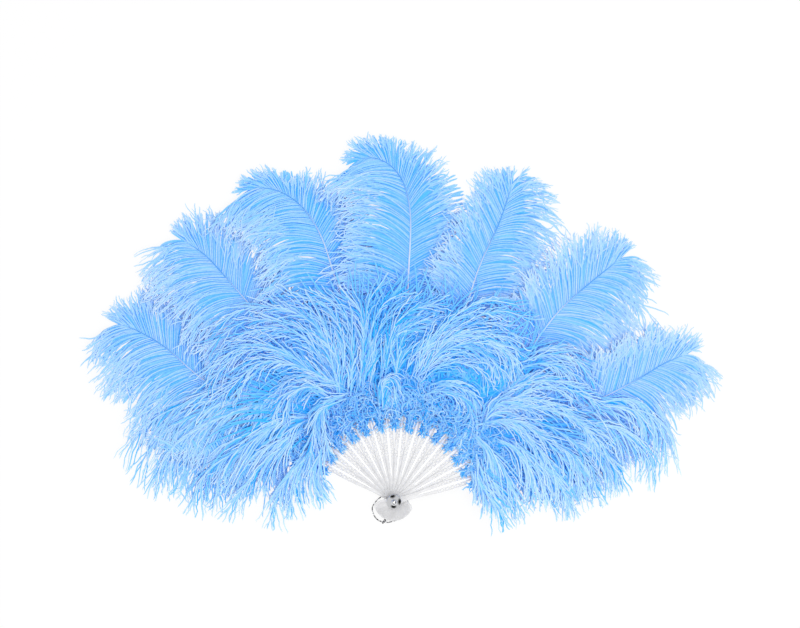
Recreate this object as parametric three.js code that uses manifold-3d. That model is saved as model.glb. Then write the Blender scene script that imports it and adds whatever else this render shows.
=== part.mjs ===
// A folding feather fan, lying open on its back on a table.
// Millimetres. The rivet stands along +Z with its flat back head on the table at the origin,
// +Y runs from the rivet towards the tall centre plume and +X towards the front guard's side.
import * as THREE from "three";
import { mergeVertices } from "three/addons/utils/BufferGeometryUtils.js";
import Module from "manifold-3d";

const wasm = await Module();
wasm.setup();

// Layout of the open fan: angles in degrees, counted from +X
const STICK_COUNT = 13;
const BACK_GUARD_ANGLE = 151;
const FRONT_GUARD_ANGLE = 17.3;
const STICK_STEP = (BACK_GUARD_ANGLE - FRONT_GUARD_ANGLE) / (STICK_COUNT - 1);

// Clearances between neighbours
const LAYER_GAP = 0.3;
const SEAT_GAP = 0.3;
const PIN_CLEARANCE = 0.1;

// Sticks
const STICK_THICKNESS = 1.0;
const GUARD_THICKNESS = 1.8;
const BUTT_LENGTH = 22;
const BUTT_CENTRE = 14;
const BUTT_HALF_WIDTH = 5.8;
const NECK_AT = 17;
const NECK_HALF_WIDTH = 3.1;
const BLADE_FULL_AT = 62;
const BLADE_HALF_WIDTH = 5.7;
const BLADE_LENGTH = 83;
const BLADE_CORNER = 3;
const TONGUE_LENGTH = 43;
const TONGUE_HALF_WIDTH = 2.6;
const TONGUE_END = BLADE_LENGTH + TONGUE_LENGTH;

// Piercing of the sticks
const PIERCE_ROWS = 5;
const PIERCE_START = 51;
const PIERCE_END = 78;
const PIERCE_HALF_LENGTH = 1.25;
const PIERCE_HALF_WIDTH = 0.8;
const PIERCE_EDGE_MARGIN = 1.9;
const DROP_AT = 36;
const DROP_HALF_LENGTH = 2.2;
const DROP_HALF_WIDTH = 0.9;
const PIERCE_SIDES = 6;

// Linking thread
const THREAD_RADIUS = 0.45;
const THREAD_HOLE_RADIUS = 0.9;
const THREAD_AT = 106;
const THREAD_SLACK = 2;

// Rivet
const PIN_RADIUS = 1.5;
const PIN_SIDES = 16;
const BACK_HEAD_RADIUS = 4.5;
const BACK_HEAD_HEIGHT = 0.9;
const WASHER_RADIUS = 8;
const WASHER_RIM = 0.8;
const WASHER_HEIGHT = 3.4;
const WASHER_TOP_RADIUS = 2.6;
const BALL_RADIUS = 3.7;
const BALL_SEAT_RADIUS = 2.2;
const PIN_IN_BALL = 3.2;
const ROUND_SIDES = 24;

// Wrist cord
const CORD_RADIUS = 0.7;
const CORD_SIDES = 8;
const CORD_STEPS = 40;
const CORD_LIFT = 0.85;
const KNOT_RADIUS = 1.5;
const TAIL_RADIUS = 0.5;
const TAIL_LENGTH = 5;

// Feathers
const QUILL_START = 94;
const QUILL_RADIUS = 1.1;
const PLUME_THICKNESS = 5;
const PLUME_HEIGHT = 9.2;
const PLUME_LEVEL_TO = TONGUE_END + 25;
const PLUME_SETTLED_AT = 225;
const SHINGLE_RISE = 9;
const SHINGLE_ANGLE = THREE.MathUtils.degToRad(20);
const EDGE_THICKNESS = 1;
const EDGE_NOTCH = 0.05;
const FEATHER_STATIONS = 13;
const STATION_CROWDING = 1.6;
const VANE_WIDEST_AT = 0.68;
const VANE_ROOT_SHARE = 0.6;
const VANE_TIP_SHARE = 0.16;
const FRONT_THICKNESS = 6;
const FRONT_HEIGHT = 28;
const FRONT_LIFT = 12.5;
const FRONT_RISEN_AT = 152;
const PLUME_VANE_FROM = 0.03;

// Ruff
const TUFT_HALF_LENGTH = 21;
const TUFT_CENTRE = BLADE_LENGTH + TUFT_HALF_LENGTH + 1;
const TUFT_HEIGHT = 17;
const TUFT_GAP = 0.5;
const TUFT_SIDES = 12;
const TUFT_ROUNDNESS = 0.6;
const TUFT_RINGS = [[0.86, 0], [1, 0.25], [0.94, 0.6], [0.7, 0.88], [0.3, 1]];

// Large plumes: the stick each is glued to, its half width, and its shaft as [radius, lean from the stick]
const PLUMES = [
  { stick: 2, half: 58, shaft: [[244, 7.6], [305, 7.5], [376, 7.5]] },
  { stick: 4, half: 56, shaft: [[243, 8.4], [310, 10], [382, 11.8]] },
  { stick: 6, half: 56, shaft: [[237, 9.2], [310, 11.2], [388, 14.6]] },
  { stick: 7, half: 58, shaft: [[235, 1.9], [318, 2.5], [397, 6.6]] },
  { stick: 8, half: 55, shaft: [[231, -3.6], [310, -4], [390, -4.2]] },
  { stick: 10, half: 58, shaft: [[217, -2.4], [300, -3.6], [386, -4.6]] },
  { stick: 12, half: 57, shaft: [[253, -2.1], [310, -1.8], [382, -1.5]] },
];

// Front feathers: as the plumes, with the half widths to the left and right of the shaft, the shaft's height
// at its tip, the rise of the left edge over SHINGLE_ANGLE, and where along it the vane begins
const FRONT_FEATHERS = [
  { stick: 1, left: 72, right: 44, tip: 12, rise: -9, from: 0, shaft: [[158, 9.8], [220, 15], [298, 18.4]] },
  { stick: 3, left: 40, right: 36, tip: 27, rise: 8, from: 0.14, shaft: [[184, 0.5], [230, 6], [268, 12]] },
  { stick: 5, left: 40, right: 36, tip: 27, rise: 8, from: 0.14, shaft: [[175, 1], [225, 6], [264, 12]] },
  { stick: 7, left: 36, right: 36, tip: 27, rise: 8, from: 0.14, shaft: [[166, 2.9], [215, 4.5], [250, 6]] },
  { stick: 9, left: 36, right: 40, tip: 27, rise: 8, from: 0.14, shaft: [[168, 1], [210, -2], [252, -7]] },
  { stick: 11, left: 36, right: 40, tip: 26, rise: 8, from: 0.14, shaft: [[168, 1], [220, -4], [264, -9]] },
  { stick: 13, left: 42, right: 66, tip: 13, rise: 9, from: 0, shaft: [[162, 0.2], [232, -4.7], [300, -8]] },
];

// Wrist cord in the table plane: from the knot, under the butts, behind the rivet's pin and back to the knot
const CORD_ROUTE = [
  [-10.5, -24.4], [-5.5, -24.2], [2.2, -22], [7, -18.4], [9.8, -13.2], [11.6, -9.2], [14.2, -5.8],
  [15.4, -1.6], [12.2, 2.2], [6.4, 3.2], [0, 2.6], [-6.2, 3.6], [-13.2, 4.2], [-18.7, 0.2],
  [-22.2, -4.4], [-24, -8.6], [-23.3, -13.2], [-21.5, -17.6], [-18.4, -21.2], [-14, -23.5],
];
const KNOT_AT = [-12.3, -24.1];
const TAIL_TURNS = [0.45, 0.95];

// Heights that follow from the stack
const CORD_SPACE = 2 * CORD_RADIUS + 2 * SEAT_GAP;
const STACK_BOTTOM = BACK_HEAD_HEIGHT + CORD_SPACE;
const HOLE_RADIUS = PIN_RADIUS + PIN_CLEARANCE;

const thicknessOf = (stick) => (stick === 1 || stick === STICK_COUNT ? GUARD_THICKNESS : STICK_THICKNESS);
const angleOf = (stick) => THREE.MathUtils.degToRad(BACK_GUARD_ANGLE - STICK_STEP * (stick - 1));

function bottomOf(stick) {
  let height = STACK_BOTTOM;
  for (let below = 1; below < stick; below += 1) {
    height += thicknessOf(below) + LAYER_GAP;
  }
  return height;
}

const topOf = (stick) => bottomOf(stick) + thicknessOf(stick);
const quillHeight = (stick) => topOf(stick) + SEAT_GAP + QUILL_RADIUS;
const quillOver = (stick) => quillHeight(stick) + 2 * QUILL_RADIUS + SEAT_GAP;
const carriesPlume = (stick) => PLUMES.some((plume) => plume.stick === stick);
const carriesFront = (stick) => FRONT_FEATHERS.some((front) => front.stick === stick);
const frontQuillHeight = (stick) => (carriesPlume(stick) ? quillOver(stick) : quillHeight(stick));

const WASHER_BOTTOM = topOf(STICK_COUNT) + LAYER_GAP;
const BALL_BOTTOM = WASHER_BOTTOM + WASHER_HEIGHT + SEAT_GAP;

const polar = (radius, angle) => [radius * Math.cos(angle), radius * Math.sin(angle)];
const mix = (from, to, share) => from + (to - from) * share;
const ease = (share) => share * share * (3 - 2 * share);
const clamp01 = (value) => Math.min(1, Math.max(0, value));
const pad = (number) => String(number).padStart(2, "0");

// Materials
const PLASTIC = { color: 0xf0f0f3, roughness: 0.25, metalness: 0 };
const FEATHER = { color: 0x8cc6fc, roughness: 0.85, metalness: 0 };
const DOWN = { color: 0x76b6f6, roughness: 0.9, metalness: 0 };
const CHROME = { color: 0xd5d7da, roughness: 0.08, metalness: 1 };
const SILVER_CORD = { color: 0xb4b7bc, roughness: 0.4, metalness: 0.8 };
const THREAD = { color: 0xf4f4f4, roughness: 0.7, metalness: 0 };

const fan = new THREE.Group();

function addPiece(name, geometry, finish) {
  const piece = new THREE.Mesh(geometry, new THREE.MeshStandardMaterial(finish));
  piece.name = name;
  fan.add(piece);
  return piece;
}

// A ring of points round an ellipse
function oval(x, y, halfLength, halfWidth, sides) {
  const points = [];
  for (let i = 0; i < sides; i += 1) {
    const turn = (2 * Math.PI * i) / sides;
    points.push(new THREE.Vector2(x + halfLength * Math.cos(turn), y + halfWidth * Math.sin(turn)));
  }
  return points;
}

// Half the width of a stick at a distance from the rivet
function halfWidthAt(along) {
  if (along < -BUTT_CENTRE) {
    const share = (-BUTT_CENTRE - along) / (BUTT_LENGTH - BUTT_CENTRE);
    return BUTT_HALF_WIDTH * Math.sqrt(Math.max(0, 1 - share * share));
  }
  if (along < NECK_AT) {
    return mix(BUTT_HALF_WIDTH, NECK_HALF_WIDTH, ease((along + BUTT_CENTRE) / (NECK_AT + BUTT_CENTRE)));
  }
  if (along < BLADE_FULL_AT) {
    return mix(NECK_HALF_WIDTH, BLADE_HALF_WIDTH, ease((along - NECK_AT) / (BLADE_FULL_AT - NECK_AT)));
  }
  if (along < BLADE_LENGTH - BLADE_CORNER) {
    return BLADE_HALF_WIDTH;
  }
  if (along < BLADE_LENGTH) {
    const share = (along - BLADE_LENGTH + BLADE_CORNER) / BLADE_CORNER;
    return mix(TONGUE_HALF_WIDTH, BLADE_HALF_WIDTH, Math.sqrt(1 - share * share));
  }
  return TONGUE_HALF_WIDTH;
}

// Distances from the rivet at which the outline of a stick has a corner
function outlineStations() {
  const stations = [];
  for (let i = 1; i <= 5; i += 1) {
    stations.push(-BUTT_CENTRE - (BUTT_LENGTH - BUTT_CENTRE) * Math.cos((Math.PI / 2) * (i / 5)));
  }
  for (let i = 1; i <= 5; i += 1) {
    stations.push(mix(-BUTT_CENTRE, NECK_AT, i / 5));
  }
  for (let i = 1; i <= 6; i += 1) {
    stations.push(mix(NECK_AT, BLADE_FULL_AT, i / 6));
  }
  for (const share of [0, 0.5, 0.87, 1]) {
    stations.push(BLADE_LENGTH - BLADE_CORNER * (1 - share));
  }
  stations.push(TONGUE_END - TONGUE_HALF_WIDTH);
  return stations;
}

// The pierced pattern: a middle row, two rows that follow the edges, and a drop nearer the rivet
function piercings() {
  const holes = [];
  const pitch = (PIERCE_END - PIERCE_START) / (PIERCE_ROWS - 0.5);
  for (let row = 0; row < PIERCE_ROWS; row += 1) {
    const middle = PIERCE_START + row * pitch;
    const outer = middle + pitch / 2;
    const side = halfWidthAt(outer) - PIERCE_EDGE_MARGIN;
    holes.push(oval(middle, 0, PIERCE_HALF_LENGTH, PIERCE_HALF_WIDTH, PIERCE_SIDES));
    holes.push(oval(outer, side, PIERCE_HALF_LENGTH, PIERCE_HALF_WIDTH, PIERCE_SIDES));
    holes.push(oval(outer, -side, PIERCE_HALF_LENGTH, PIERCE_HALF_WIDTH, PIERCE_SIDES));
  }
  holes.push(oval(DROP_AT, 0, DROP_HALF_LENGTH, DROP_HALF_WIDTH, PIERCE_SIDES));
  return holes;
}

function stickGeometry(thickness) {
  const stations = outlineStations();
  const upper = stations.map((along) => new THREE.Vector2(along, halfWidthAt(along)));
  const lower = upper.map((point) => new THREE.Vector2(point.x, -point.y)).reverse();
  const tip = [
    new THREE.Vector2(TONGUE_END, TONGUE_HALF_WIDTH / 2),
    new THREE.Vector2(TONGUE_END, -TONGUE_HALF_WIDTH / 2),
  ];
  const butt = new THREE.Vector2(-BUTT_LENGTH, 0);
  const shape = new THREE.Shape([butt, ...upper, ...tip, ...lower]);
  const bores = [
    oval(0, 0, HOLE_RADIUS, HOLE_RADIUS, PIN_SIDES),
    oval(THREAD_AT, 0, THREAD_HOLE_RADIUS, THREAD_HOLE_RADIUS, PIERCE_SIDES),
  ];
  for (const ring of [...bores, ...piercings()]) {
    shape.holes.push(new THREE.Path(ring));
  }
  return new THREE.ExtrudeGeometry(shape, { depth: thickness, bevelEnabled: false, steps: 1 });
}

function addSticks() {
  for (let stick = 1; stick <= STICK_COUNT; stick += 1) {
    let name = `inner_stick_${pad(stick)}`;
    if (stick === 1) name = "back_guard";
    if (stick === STICK_COUNT) name = "front_guard";
    const piece = addPiece(name, stickGeometry(thicknessOf(stick)), PLASTIC);
    piece.position.z = bottomOf(stick);
    piece.rotation.z = angleOf(stick);
  }
}

// A turned piece from [radius, height] points
function turned(profile, sides) {
  const geometry = new THREE.LatheGeometry(profile.map(([r, z]) => new THREE.Vector2(r, z)), sides);
  return geometry.rotateX(Math.PI / 2);
}

function addRivet() {
  const pinTop = BALL_BOTTOM + PIN_IN_BALL;
  const pin = [
    [0, 0], [BACK_HEAD_RADIUS - 0.3, 0], [BACK_HEAD_RADIUS, 0.3], [BACK_HEAD_RADIUS, BACK_HEAD_HEIGHT],
    [PIN_RADIUS, BACK_HEAD_HEIGHT], [PIN_RADIUS, pinTop], [0, pinTop],
  ];
  addPiece("rivet_pin", turned(pin, PIN_SIDES), CHROME);

  const washer = [[HOLE_RADIUS, WASHER_BOTTOM], [WASHER_RADIUS, WASHER_BOTTOM]];
  for (let i = 0; i <= 5; i += 1) {
    const turn = (Math.PI / 2) * (i / 5);
    const radius = mix(WASHER_TOP_RADIUS, WASHER_RADIUS, Math.cos(turn));
    washer.push([radius, WASHER_BOTTOM + WASHER_RIM + (WASHER_HEIGHT - WASHER_RIM) * Math.sin(turn)]);
  }
  washer.push([HOLE_RADIUS, WASHER_BOTTOM + WASHER_HEIGHT], [HOLE_RADIUS, WASHER_BOTTOM]);
  addPiece("cup_washer", turned(washer, ROUND_SIDES), CHROME);

  const seatTurn = Math.asin(BALL_SEAT_RADIUS / BALL_RADIUS);
  const ballCentre = BALL_BOTTOM + BALL_RADIUS * Math.cos(seatTurn);
  const ball = [[0, pinTop + SEAT_GAP], [HOLE_RADIUS, pinTop + SEAT_GAP], [HOLE_RADIUS, BALL_BOTTOM]];
  for (let i = 0; i < 9; i += 1) {
    const turn = mix(seatTurn, Math.PI, i / 9);
    ball.push([BALL_RADIUS * Math.sin(turn), ballCentre - BALL_RADIUS * Math.cos(turn)]);
  }
  ball.push([0, ballCentre + BALL_RADIUS]);
  addPiece("ball_head", turned(ball, ROUND_SIDES), CHROME);
}

// A round tube along a smooth curve through the points
function tube(points, radius, sides, steps) {
  const path = new THREE.CatmullRomCurve3(points, false, "centripetal");
  const section = new THREE.Shape(oval(0, 0, radius, radius, sides));
  return new THREE.ExtrudeGeometry(section, { steps, bevelEnabled: false, extrudePath: path });
}

function toManifold(geometry) {
  const bare = geometry.clone();
  bare.deleteAttribute("normal");
  bare.deleteAttribute("uv");
  const merged = mergeVertices(bare, 1e-4);
  return new wasm.Manifold(new wasm.Mesh({
    numProp: 3,
    vertProperties: new Float32Array(merged.attributes.position.array),
    triVerts: new Uint32Array(merged.index.array),
  }));
}

function fromManifold(solid) {
  const mesh = solid.getMesh();
  const geometry = new THREE.BufferGeometry();
  geometry.setAttribute("position", new THREE.BufferAttribute(new Float32Array(mesh.vertProperties), 3));
  geometry.setIndex(new THREE.BufferAttribute(new Uint32Array(mesh.triVerts), 1));
  return geometry;
}

// The cord lies on the table and climbs over the back head where it passes the pin
function cordHeight(x, y) {
  const lifted = BACK_HEAD_HEIGHT + SEAT_GAP + CORD_RADIUS;
  const away = Math.hypot(x, y) - BACK_HEAD_RADIUS - CORD_RADIUS - SEAT_GAP;
  return mix(lifted, CORD_LIFT, ease(clamp01(away / 6)));
}

function addCord() {
  const route = CORD_ROUTE.map(([x, y]) => new THREE.Vector3(x, y, cordHeight(x, y)));
  addPiece("wrist_cord", tube(route, CORD_RADIUS, CORD_SIDES, CORD_STEPS), SILVER_CORD);

  const [x, y] = KNOT_AT;
  const ball = new THREE.SphereGeometry(KNOT_RADIUS, 10, 7).rotateX(0.4).translate(x, y, KNOT_RADIUS);
  let knot = toManifold(ball);
  for (const turn of TAIL_TURNS) {
    const end = [x + TAIL_LENGTH * Math.cos(turn), y + TAIL_LENGTH * Math.sin(turn)];
    const tail = [
      new THREE.Vector3(x, y, KNOT_RADIUS),
      new THREE.Vector3(mix(x, end[0], 0.5), mix(y, end[1], 0.5), KNOT_RADIUS * 0.8),
      new THREE.Vector3(end[0], end[1], TAIL_RADIUS + 0.1),
    ];
    knot = knot.add(toManifold(tube(tail, TAIL_RADIUS, 6, 4)));
  }
  addPiece("cord_knot", fromManifold(knot), SILVER_CORD);
}

// The thread leaves the edge of one tongue and reaches the edge of the next, a little slack
function addThread() {
  for (let stick = 1; stick < STICK_COUNT; stick += 1) {
    const side = (TONGUE_HALF_WIDTH + SEAT_GAP) / THREAD_AT;
    const from = angleOf(stick) - side;
    const to = angleOf(stick + 1) + side;
    const points = [0, 0.5, 1].map((share) => {
      const [x, y] = polar(THREAD_AT - THREAD_SLACK * Math.sin(Math.PI * share), mix(from, to, share));
      return new THREE.Vector3(x, y, mix(bottomOf(stick), bottomOf(stick + 1), share) + STICK_THICKNESS / 2);
    });
    addPiece(`linking_thread_${pad(stick)}`, tube(points, THREAD_RADIUS, 6, 4), THREAD);
  }
}

// A closed skin over rings of points that all have the same count
function skinned(rings) {
  const count = rings[0].length;
  const points = rings.flat();
  const faces = [];
  for (let ring = 0; ring + 1 < rings.length; ring += 1) {
    for (let i = 0; i < count; i += 1) {
      const a = ring * count + i;
      const b = ring * count + ((i + 1) % count);
      faces.push(a, b, b + count, a, b + count, a + count);
    }
  }
  const last = (rings.length - 1) * count;
  for (let i = 1; i + 1 < count; i += 1) {
    faces.push(0, i + 1, i);
    faces.push(last, last + i, last + i + 1);
  }
  const geometry = new THREE.BufferGeometry();
  geometry.setAttribute("position", new THREE.Float32BufferAttribute(points.flat(), 3));
  geometry.setIndex(faces);
  return geometry;
}

// Width of a vane along its length, as a share of its full width: widest near the blunt tip
function vaneShare(share) {
  if (share < VANE_WIDEST_AT) {
    return mix(VANE_ROOT_SHARE * Math.sqrt(clamp01(share * 8)), 1, ease(share / VANE_WIDEST_AT));
  }
  const beyond = (share - VANE_WIDEST_AT) / (1 - VANE_WIDEST_AT);
  return Math.sqrt(Math.max(0, 1 - beyond * beyond));
}

// One feather: a quill on the stick's tongue that runs on as the shaft of a leaf-shaped vane.
// heightAt(radius) gives the shaft's height, and rise how far the left edge climbs over SHINGLE_ANGLE.
function featherGeometry(feather, heightAt, { thickness, rise, vaneFrom }) {
  const base = angleOf(feather.stick);
  const onTongue = [QUILL_START, mix(QUILL_START, TONGUE_END, 0.6), TONGUE_END].map((r) => [r, base]);
  const beyond = feather.shaft.map(([r, lean]) => [r, base + THREE.MathUtils.degToRad(lean)]);
  const points = [...onTongue, ...beyond].map(([r, turn]) => {
    const [x, y] = polar(r, turn);
    return new THREE.Vector3(x, y, 0);
  });
  const curve = new THREE.CatmullRomCurve3(points, false, "centripetal");
  const onTongueShare = (TONGUE_END - QUILL_START) / curve.getLength();
  const rings = [];
  for (let station = 0; station <= FEATHER_STATIONS; station += 1) {
    const past = 1 - (1 - Math.max(0, station - 1) / (FEATHER_STATIONS - 1)) ** STATION_CROWDING;
    const along = station === 0 ? 0 : mix(onTongueShare, 1, past);
    const centre = curve.getPointAt(along);
    const tangent = curve.getTangentAt(along);
    const radius = centre.length();
    const inVane = clamp01((past - vaneFrom) / (1 - vaneFrom));
    const notch = station % 2 ? 1 + EDGE_NOTCH : 1 - EDGE_NOTCH;
    const spread = station === FEATHER_STATIONS ? VANE_TIP_SHARE : vaneShare(inVane) * notch;
    const left = Math.max(QUILL_RADIUS, feather.left * spread);
    const right = Math.max(QUILL_RADIUS, feather.right * spread);
    const deep = mix(2 * QUILL_RADIUS, thickness, ease(clamp01(inVane * 4))) * mix(1, 0.5, ease(inVane));
    const ahead = centre.clone().normalize();
    const place = (across, up) => {
      const reach = across > 0 ? left * across : right * across;
      const x = centre.x - tangent.y * reach;
      const y = centre.y + tangent.x * reach;
      const turn = Math.atan2(ahead.x * y - ahead.y * x, ahead.x * x + ahead.y * y);
      const half = mix(deep, EDGE_THICKNESS, Math.abs(across) ** 1.5) / 2;
      return [x, y, heightAt(radius) + (rise * turn) / SHINGLE_ANGLE + up * half];
    };
    const under = [-1, -0.5, 0, 0.5, 1].map((across) => place(across, -1));
    const over = [1, 0.5, 0, -0.5, -1].map((across) => place(across, 1));
    rings.push([...under, ...over]);
  }
  return skinned(rings);
}

function addPlumes() {
  PLUMES.forEach((plume, index) => {
    const start = quillHeight(plume.stick);
    const heightAt = (radius) => {
      const settled = clamp01((radius - PLUME_LEVEL_TO) / (PLUME_SETTLED_AT - PLUME_LEVEL_TO));
      return mix(start, PLUME_HEIGHT, ease(settled));
    };
    const shape = { ...plume, left: plume.half, right: plume.half };
    const body = { thickness: PLUME_THICKNESS, rise: SHINGLE_RISE, vaneFrom: PLUME_VANE_FROM };
    addPiece(`plume_${index + 1}`, featherGeometry(shape, heightAt, body), FEATHER);
  });
}

function addFrontFeathers() {
  FRONT_FEATHERS.forEach((front, index) => {
    const start = frontQuillHeight(front.stick);
    const crest = Math.max(FRONT_HEIGHT, start + FRONT_LIFT);
    const tipRadius = front.shaft[front.shaft.length - 1][0];
    const heightAt = (radius) => {
      const risen = ease(clamp01((radius - TONGUE_END) / (FRONT_RISEN_AT - TONGUE_END)));
      const drooped = ease(clamp01((radius - FRONT_RISEN_AT) / (tipRadius - FRONT_RISEN_AT)));
      return mix(mix(start, crest, risen), front.tip, drooped);
    };
    const body = { thickness: FRONT_THICKNESS, rise: front.rise, vaneFrom: front.from };
    addPiece(`front_feather_${index + 1}`, featherGeometry(front, heightAt, body), FEATHER);
  });
}

// A curly tuft stands on the quills at the end of each stick, as wide as its share of the open fan
function tuftGeometry() {
  const share = Math.tan(THREE.MathUtils.degToRad(STICK_STEP) / 2);
  const rings = TUFT_RINGS.map(([size, height]) => {
    const ring = [];
    for (let i = 0; i < TUFT_SIDES; i += 1) {
      const turn = (2 * Math.PI * i) / TUFT_SIDES;
      const squarish = (value) => Math.sign(value) * Math.abs(value) ** TUFT_ROUNDNESS;
      const along = TUFT_CENTRE + TUFT_HALF_LENGTH * size * squarish(Math.cos(turn));
      const across = (along * share - TUFT_GAP) * size * squarish(Math.sin(turn));
      ring.push([along, across, TUFT_HEIGHT * height]);
    }
    return ring;
  });
  return skinned(rings);
}

function addRuff() {
  for (let stick = 1; stick <= STICK_COUNT; stick += 1) {
    const tuft = addPiece(`ruff_tuft_${pad(stick)}`, tuftGeometry(), DOWN);
    const quill = carriesFront(stick) ? frontQuillHeight(stick) : quillHeight(stick);
    tuft.position.z = quill + QUILL_RADIUS + SEAT_GAP;
    tuft.rotation.z = angleOf(stick);
  }
}

addSticks();
addRivet();
addCord();
addThread();
addPlumes();
addFrontFeathers();
addRuff();

export default fan;
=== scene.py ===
import logging
import math
from dataclasses import dataclass, field
from enum import Enum

import bpy
import numpy as np
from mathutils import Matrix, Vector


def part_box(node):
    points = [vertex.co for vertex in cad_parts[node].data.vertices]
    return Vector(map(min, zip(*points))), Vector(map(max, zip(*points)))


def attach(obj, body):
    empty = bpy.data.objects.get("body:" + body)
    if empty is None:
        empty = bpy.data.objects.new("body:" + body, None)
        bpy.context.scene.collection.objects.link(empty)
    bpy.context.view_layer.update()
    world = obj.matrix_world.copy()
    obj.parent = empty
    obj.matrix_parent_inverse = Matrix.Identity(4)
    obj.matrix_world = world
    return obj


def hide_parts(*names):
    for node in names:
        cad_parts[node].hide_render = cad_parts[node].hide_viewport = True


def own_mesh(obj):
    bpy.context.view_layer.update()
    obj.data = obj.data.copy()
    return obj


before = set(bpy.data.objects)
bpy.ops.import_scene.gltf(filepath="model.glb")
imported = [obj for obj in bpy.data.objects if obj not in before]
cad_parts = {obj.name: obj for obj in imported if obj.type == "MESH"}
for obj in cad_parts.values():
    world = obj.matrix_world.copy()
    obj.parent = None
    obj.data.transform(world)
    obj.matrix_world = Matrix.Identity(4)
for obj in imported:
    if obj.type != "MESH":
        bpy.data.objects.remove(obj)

Array = np.ndarray
Colour = tuple[float, float, float, float]
Spot = tuple[float, float]
Socket = bpy.types.NodeSocket
UP = np.array([0.0, 0.0, 1.0])

LOG = logging.getLogger("feather_fan")
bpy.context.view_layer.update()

# Every size below is in millimetres and every angle in degrees, unless its name says otherwise.
MM = 0.001

# The photograph: its frame, the pixel of the rivet and the scale on the table
PHOTO_WIDTH_PX = 800
PHOTO_HEIGHT_PX = 628
RIVET_PX = (394.0, 501.0)
MM_PER_PX = 1.1

# The map that the strands carry: tone across, root to tip upwards
STRAND_MAP = "OFBake"
TONE_COLUMNS = 48


class Slot(Enum):
    """Material slots of the record."""

    PLASTIC = "stick_plastic"
    PLUME = "plume_feather"
    FRONT = "front_feather"
    DOWN = "ruff_down"
    THREAD = "linking_thread"
    CHROME = "chrome"
    CORD = "silver_cord"


class Fall(Enum):
    """The side of its shaft that a feather's long barbs hang from."""

    LEFT = 1
    RIGHT = -1


def mix(start: float | Array, end: float | Array, share: float | Array) -> float | Array:
    """Blend from start to end by a share."""
    return start + (end - start) * share


def ease(share: float | Array) -> float | Array:
    """Smooth a share, held between 0 and 1, at both ends."""
    held = np.clip(share, 0.0, 1.0)
    return held * held * (3.0 - 2.0 * held)


def polar(radius: float, degrees: float) -> Array:
    """Point in the table plane at a distance and an angle from the rivet."""
    turn = math.radians(degrees)
    return np.array([radius * math.cos(turn), radius * math.sin(turn)])


def unit(vectors: Array) -> Array:
    """Scale vectors along the last axis to length one."""
    return vectors / np.maximum(np.linalg.norm(vectors, axis=-1, keepdims=True), 1e-9)


def smooth_line(points: Array, count: int) -> Array:
    """Lay evenly spaced points on a smooth curve through the given ones.

    Args:
        points: the points that the curve passes, one row each.
        count: how many points to lay.

    Returns:
        One row per point on a centripetal Catmull-Rom curve.
    """
    knots = np.asarray(points, float)
    padded = np.vstack([2 * knots[0] - knots[1], knots, 2 * knots[-1] - knots[-2]])
    fine = []
    for a, b, c, d in zip(padded, padded[1:], padded[2:], padded[3:]):
        t1 = np.linalg.norm(b - a) ** 0.5
        t2 = t1 + np.linalg.norm(c - b) ** 0.5
        t3 = t2 + np.linalg.norm(d - c) ** 0.5
        t = np.linspace(t1, t2, 24, endpoint=False)[:, None]
        first = mix(a, b, t / t1)
        second = mix(b, c, (t - t1) / (t2 - t1))
        third = mix(c, d, (t - t2) / (t3 - t2))
        fine.append(mix(mix(first, second, t / t2), mix(second, third, (t - t1) / (t3 - t1)),
                        (t - t1) / (t2 - t1)))
    line = np.vstack([*fine, knots[-1:]])
    along = np.concatenate([[0.0], np.cumsum(np.linalg.norm(np.diff(line, axis=0), axis=1))])
    even = np.linspace(0.0, along[-1], count)
    return np.stack([np.interp(even, along, column) for column in line.T], axis=1)


def length_of(line: Array) -> float:
    """Length of a line of points."""
    return float(np.linalg.norm(np.diff(line, axis=0), axis=1).sum())


def link(name: str, data: bpy.types.ID) -> bpy.types.Object:
    """Put a mesh or other data into the scene as an object at the origin."""
    piece = bpy.data.objects.new(name, data)
    bpy.context.scene.collection.objects.link(piece)
    return piece


def pick(*pieces: bpy.types.Object) -> None:
    """Make pieces the only selected ones, the first of them active."""
    bpy.ops.object.select_all(action="DESELECT")
    for piece in pieces:
        piece.select_set(True)
    bpy.context.view_layer.objects.active = pieces[0]


def mesh_from(name: str, points: Array, corners: Array, starts: Array) -> bpy.types.Mesh:
    """Make a smooth mesh from numpy arrays.

    Args:
        name: name of the mesh.
        points: vertices in millimetres, one row each.
        corners: vertex of each face corner, face after face.
        starts: index of each face's first corner.

    Returns:
        The mesh, in metres.
    """
    mesh = bpy.data.meshes.new(name)
    mesh.vertices.add(len(points))
    mesh.vertices.foreach_set("co", (points * MM).astype(np.float32).ravel())
    mesh.loops.add(len(corners))
    mesh.loops.foreach_set("vertex_index", corners.astype(np.int32))
    mesh.polygons.add(len(starts))
    mesh.polygons.foreach_set("loop_start", starts.astype(np.int32))
    mesh.update(calc_edges=True)
    mesh.shade_smooth()
    return mesh


# Finishes

WHITE: Colour = (1.0, 1.0, 1.0, 1.0)
BLACK: Colour = (0.0, 0.0, 0.0, 1.0)


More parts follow.
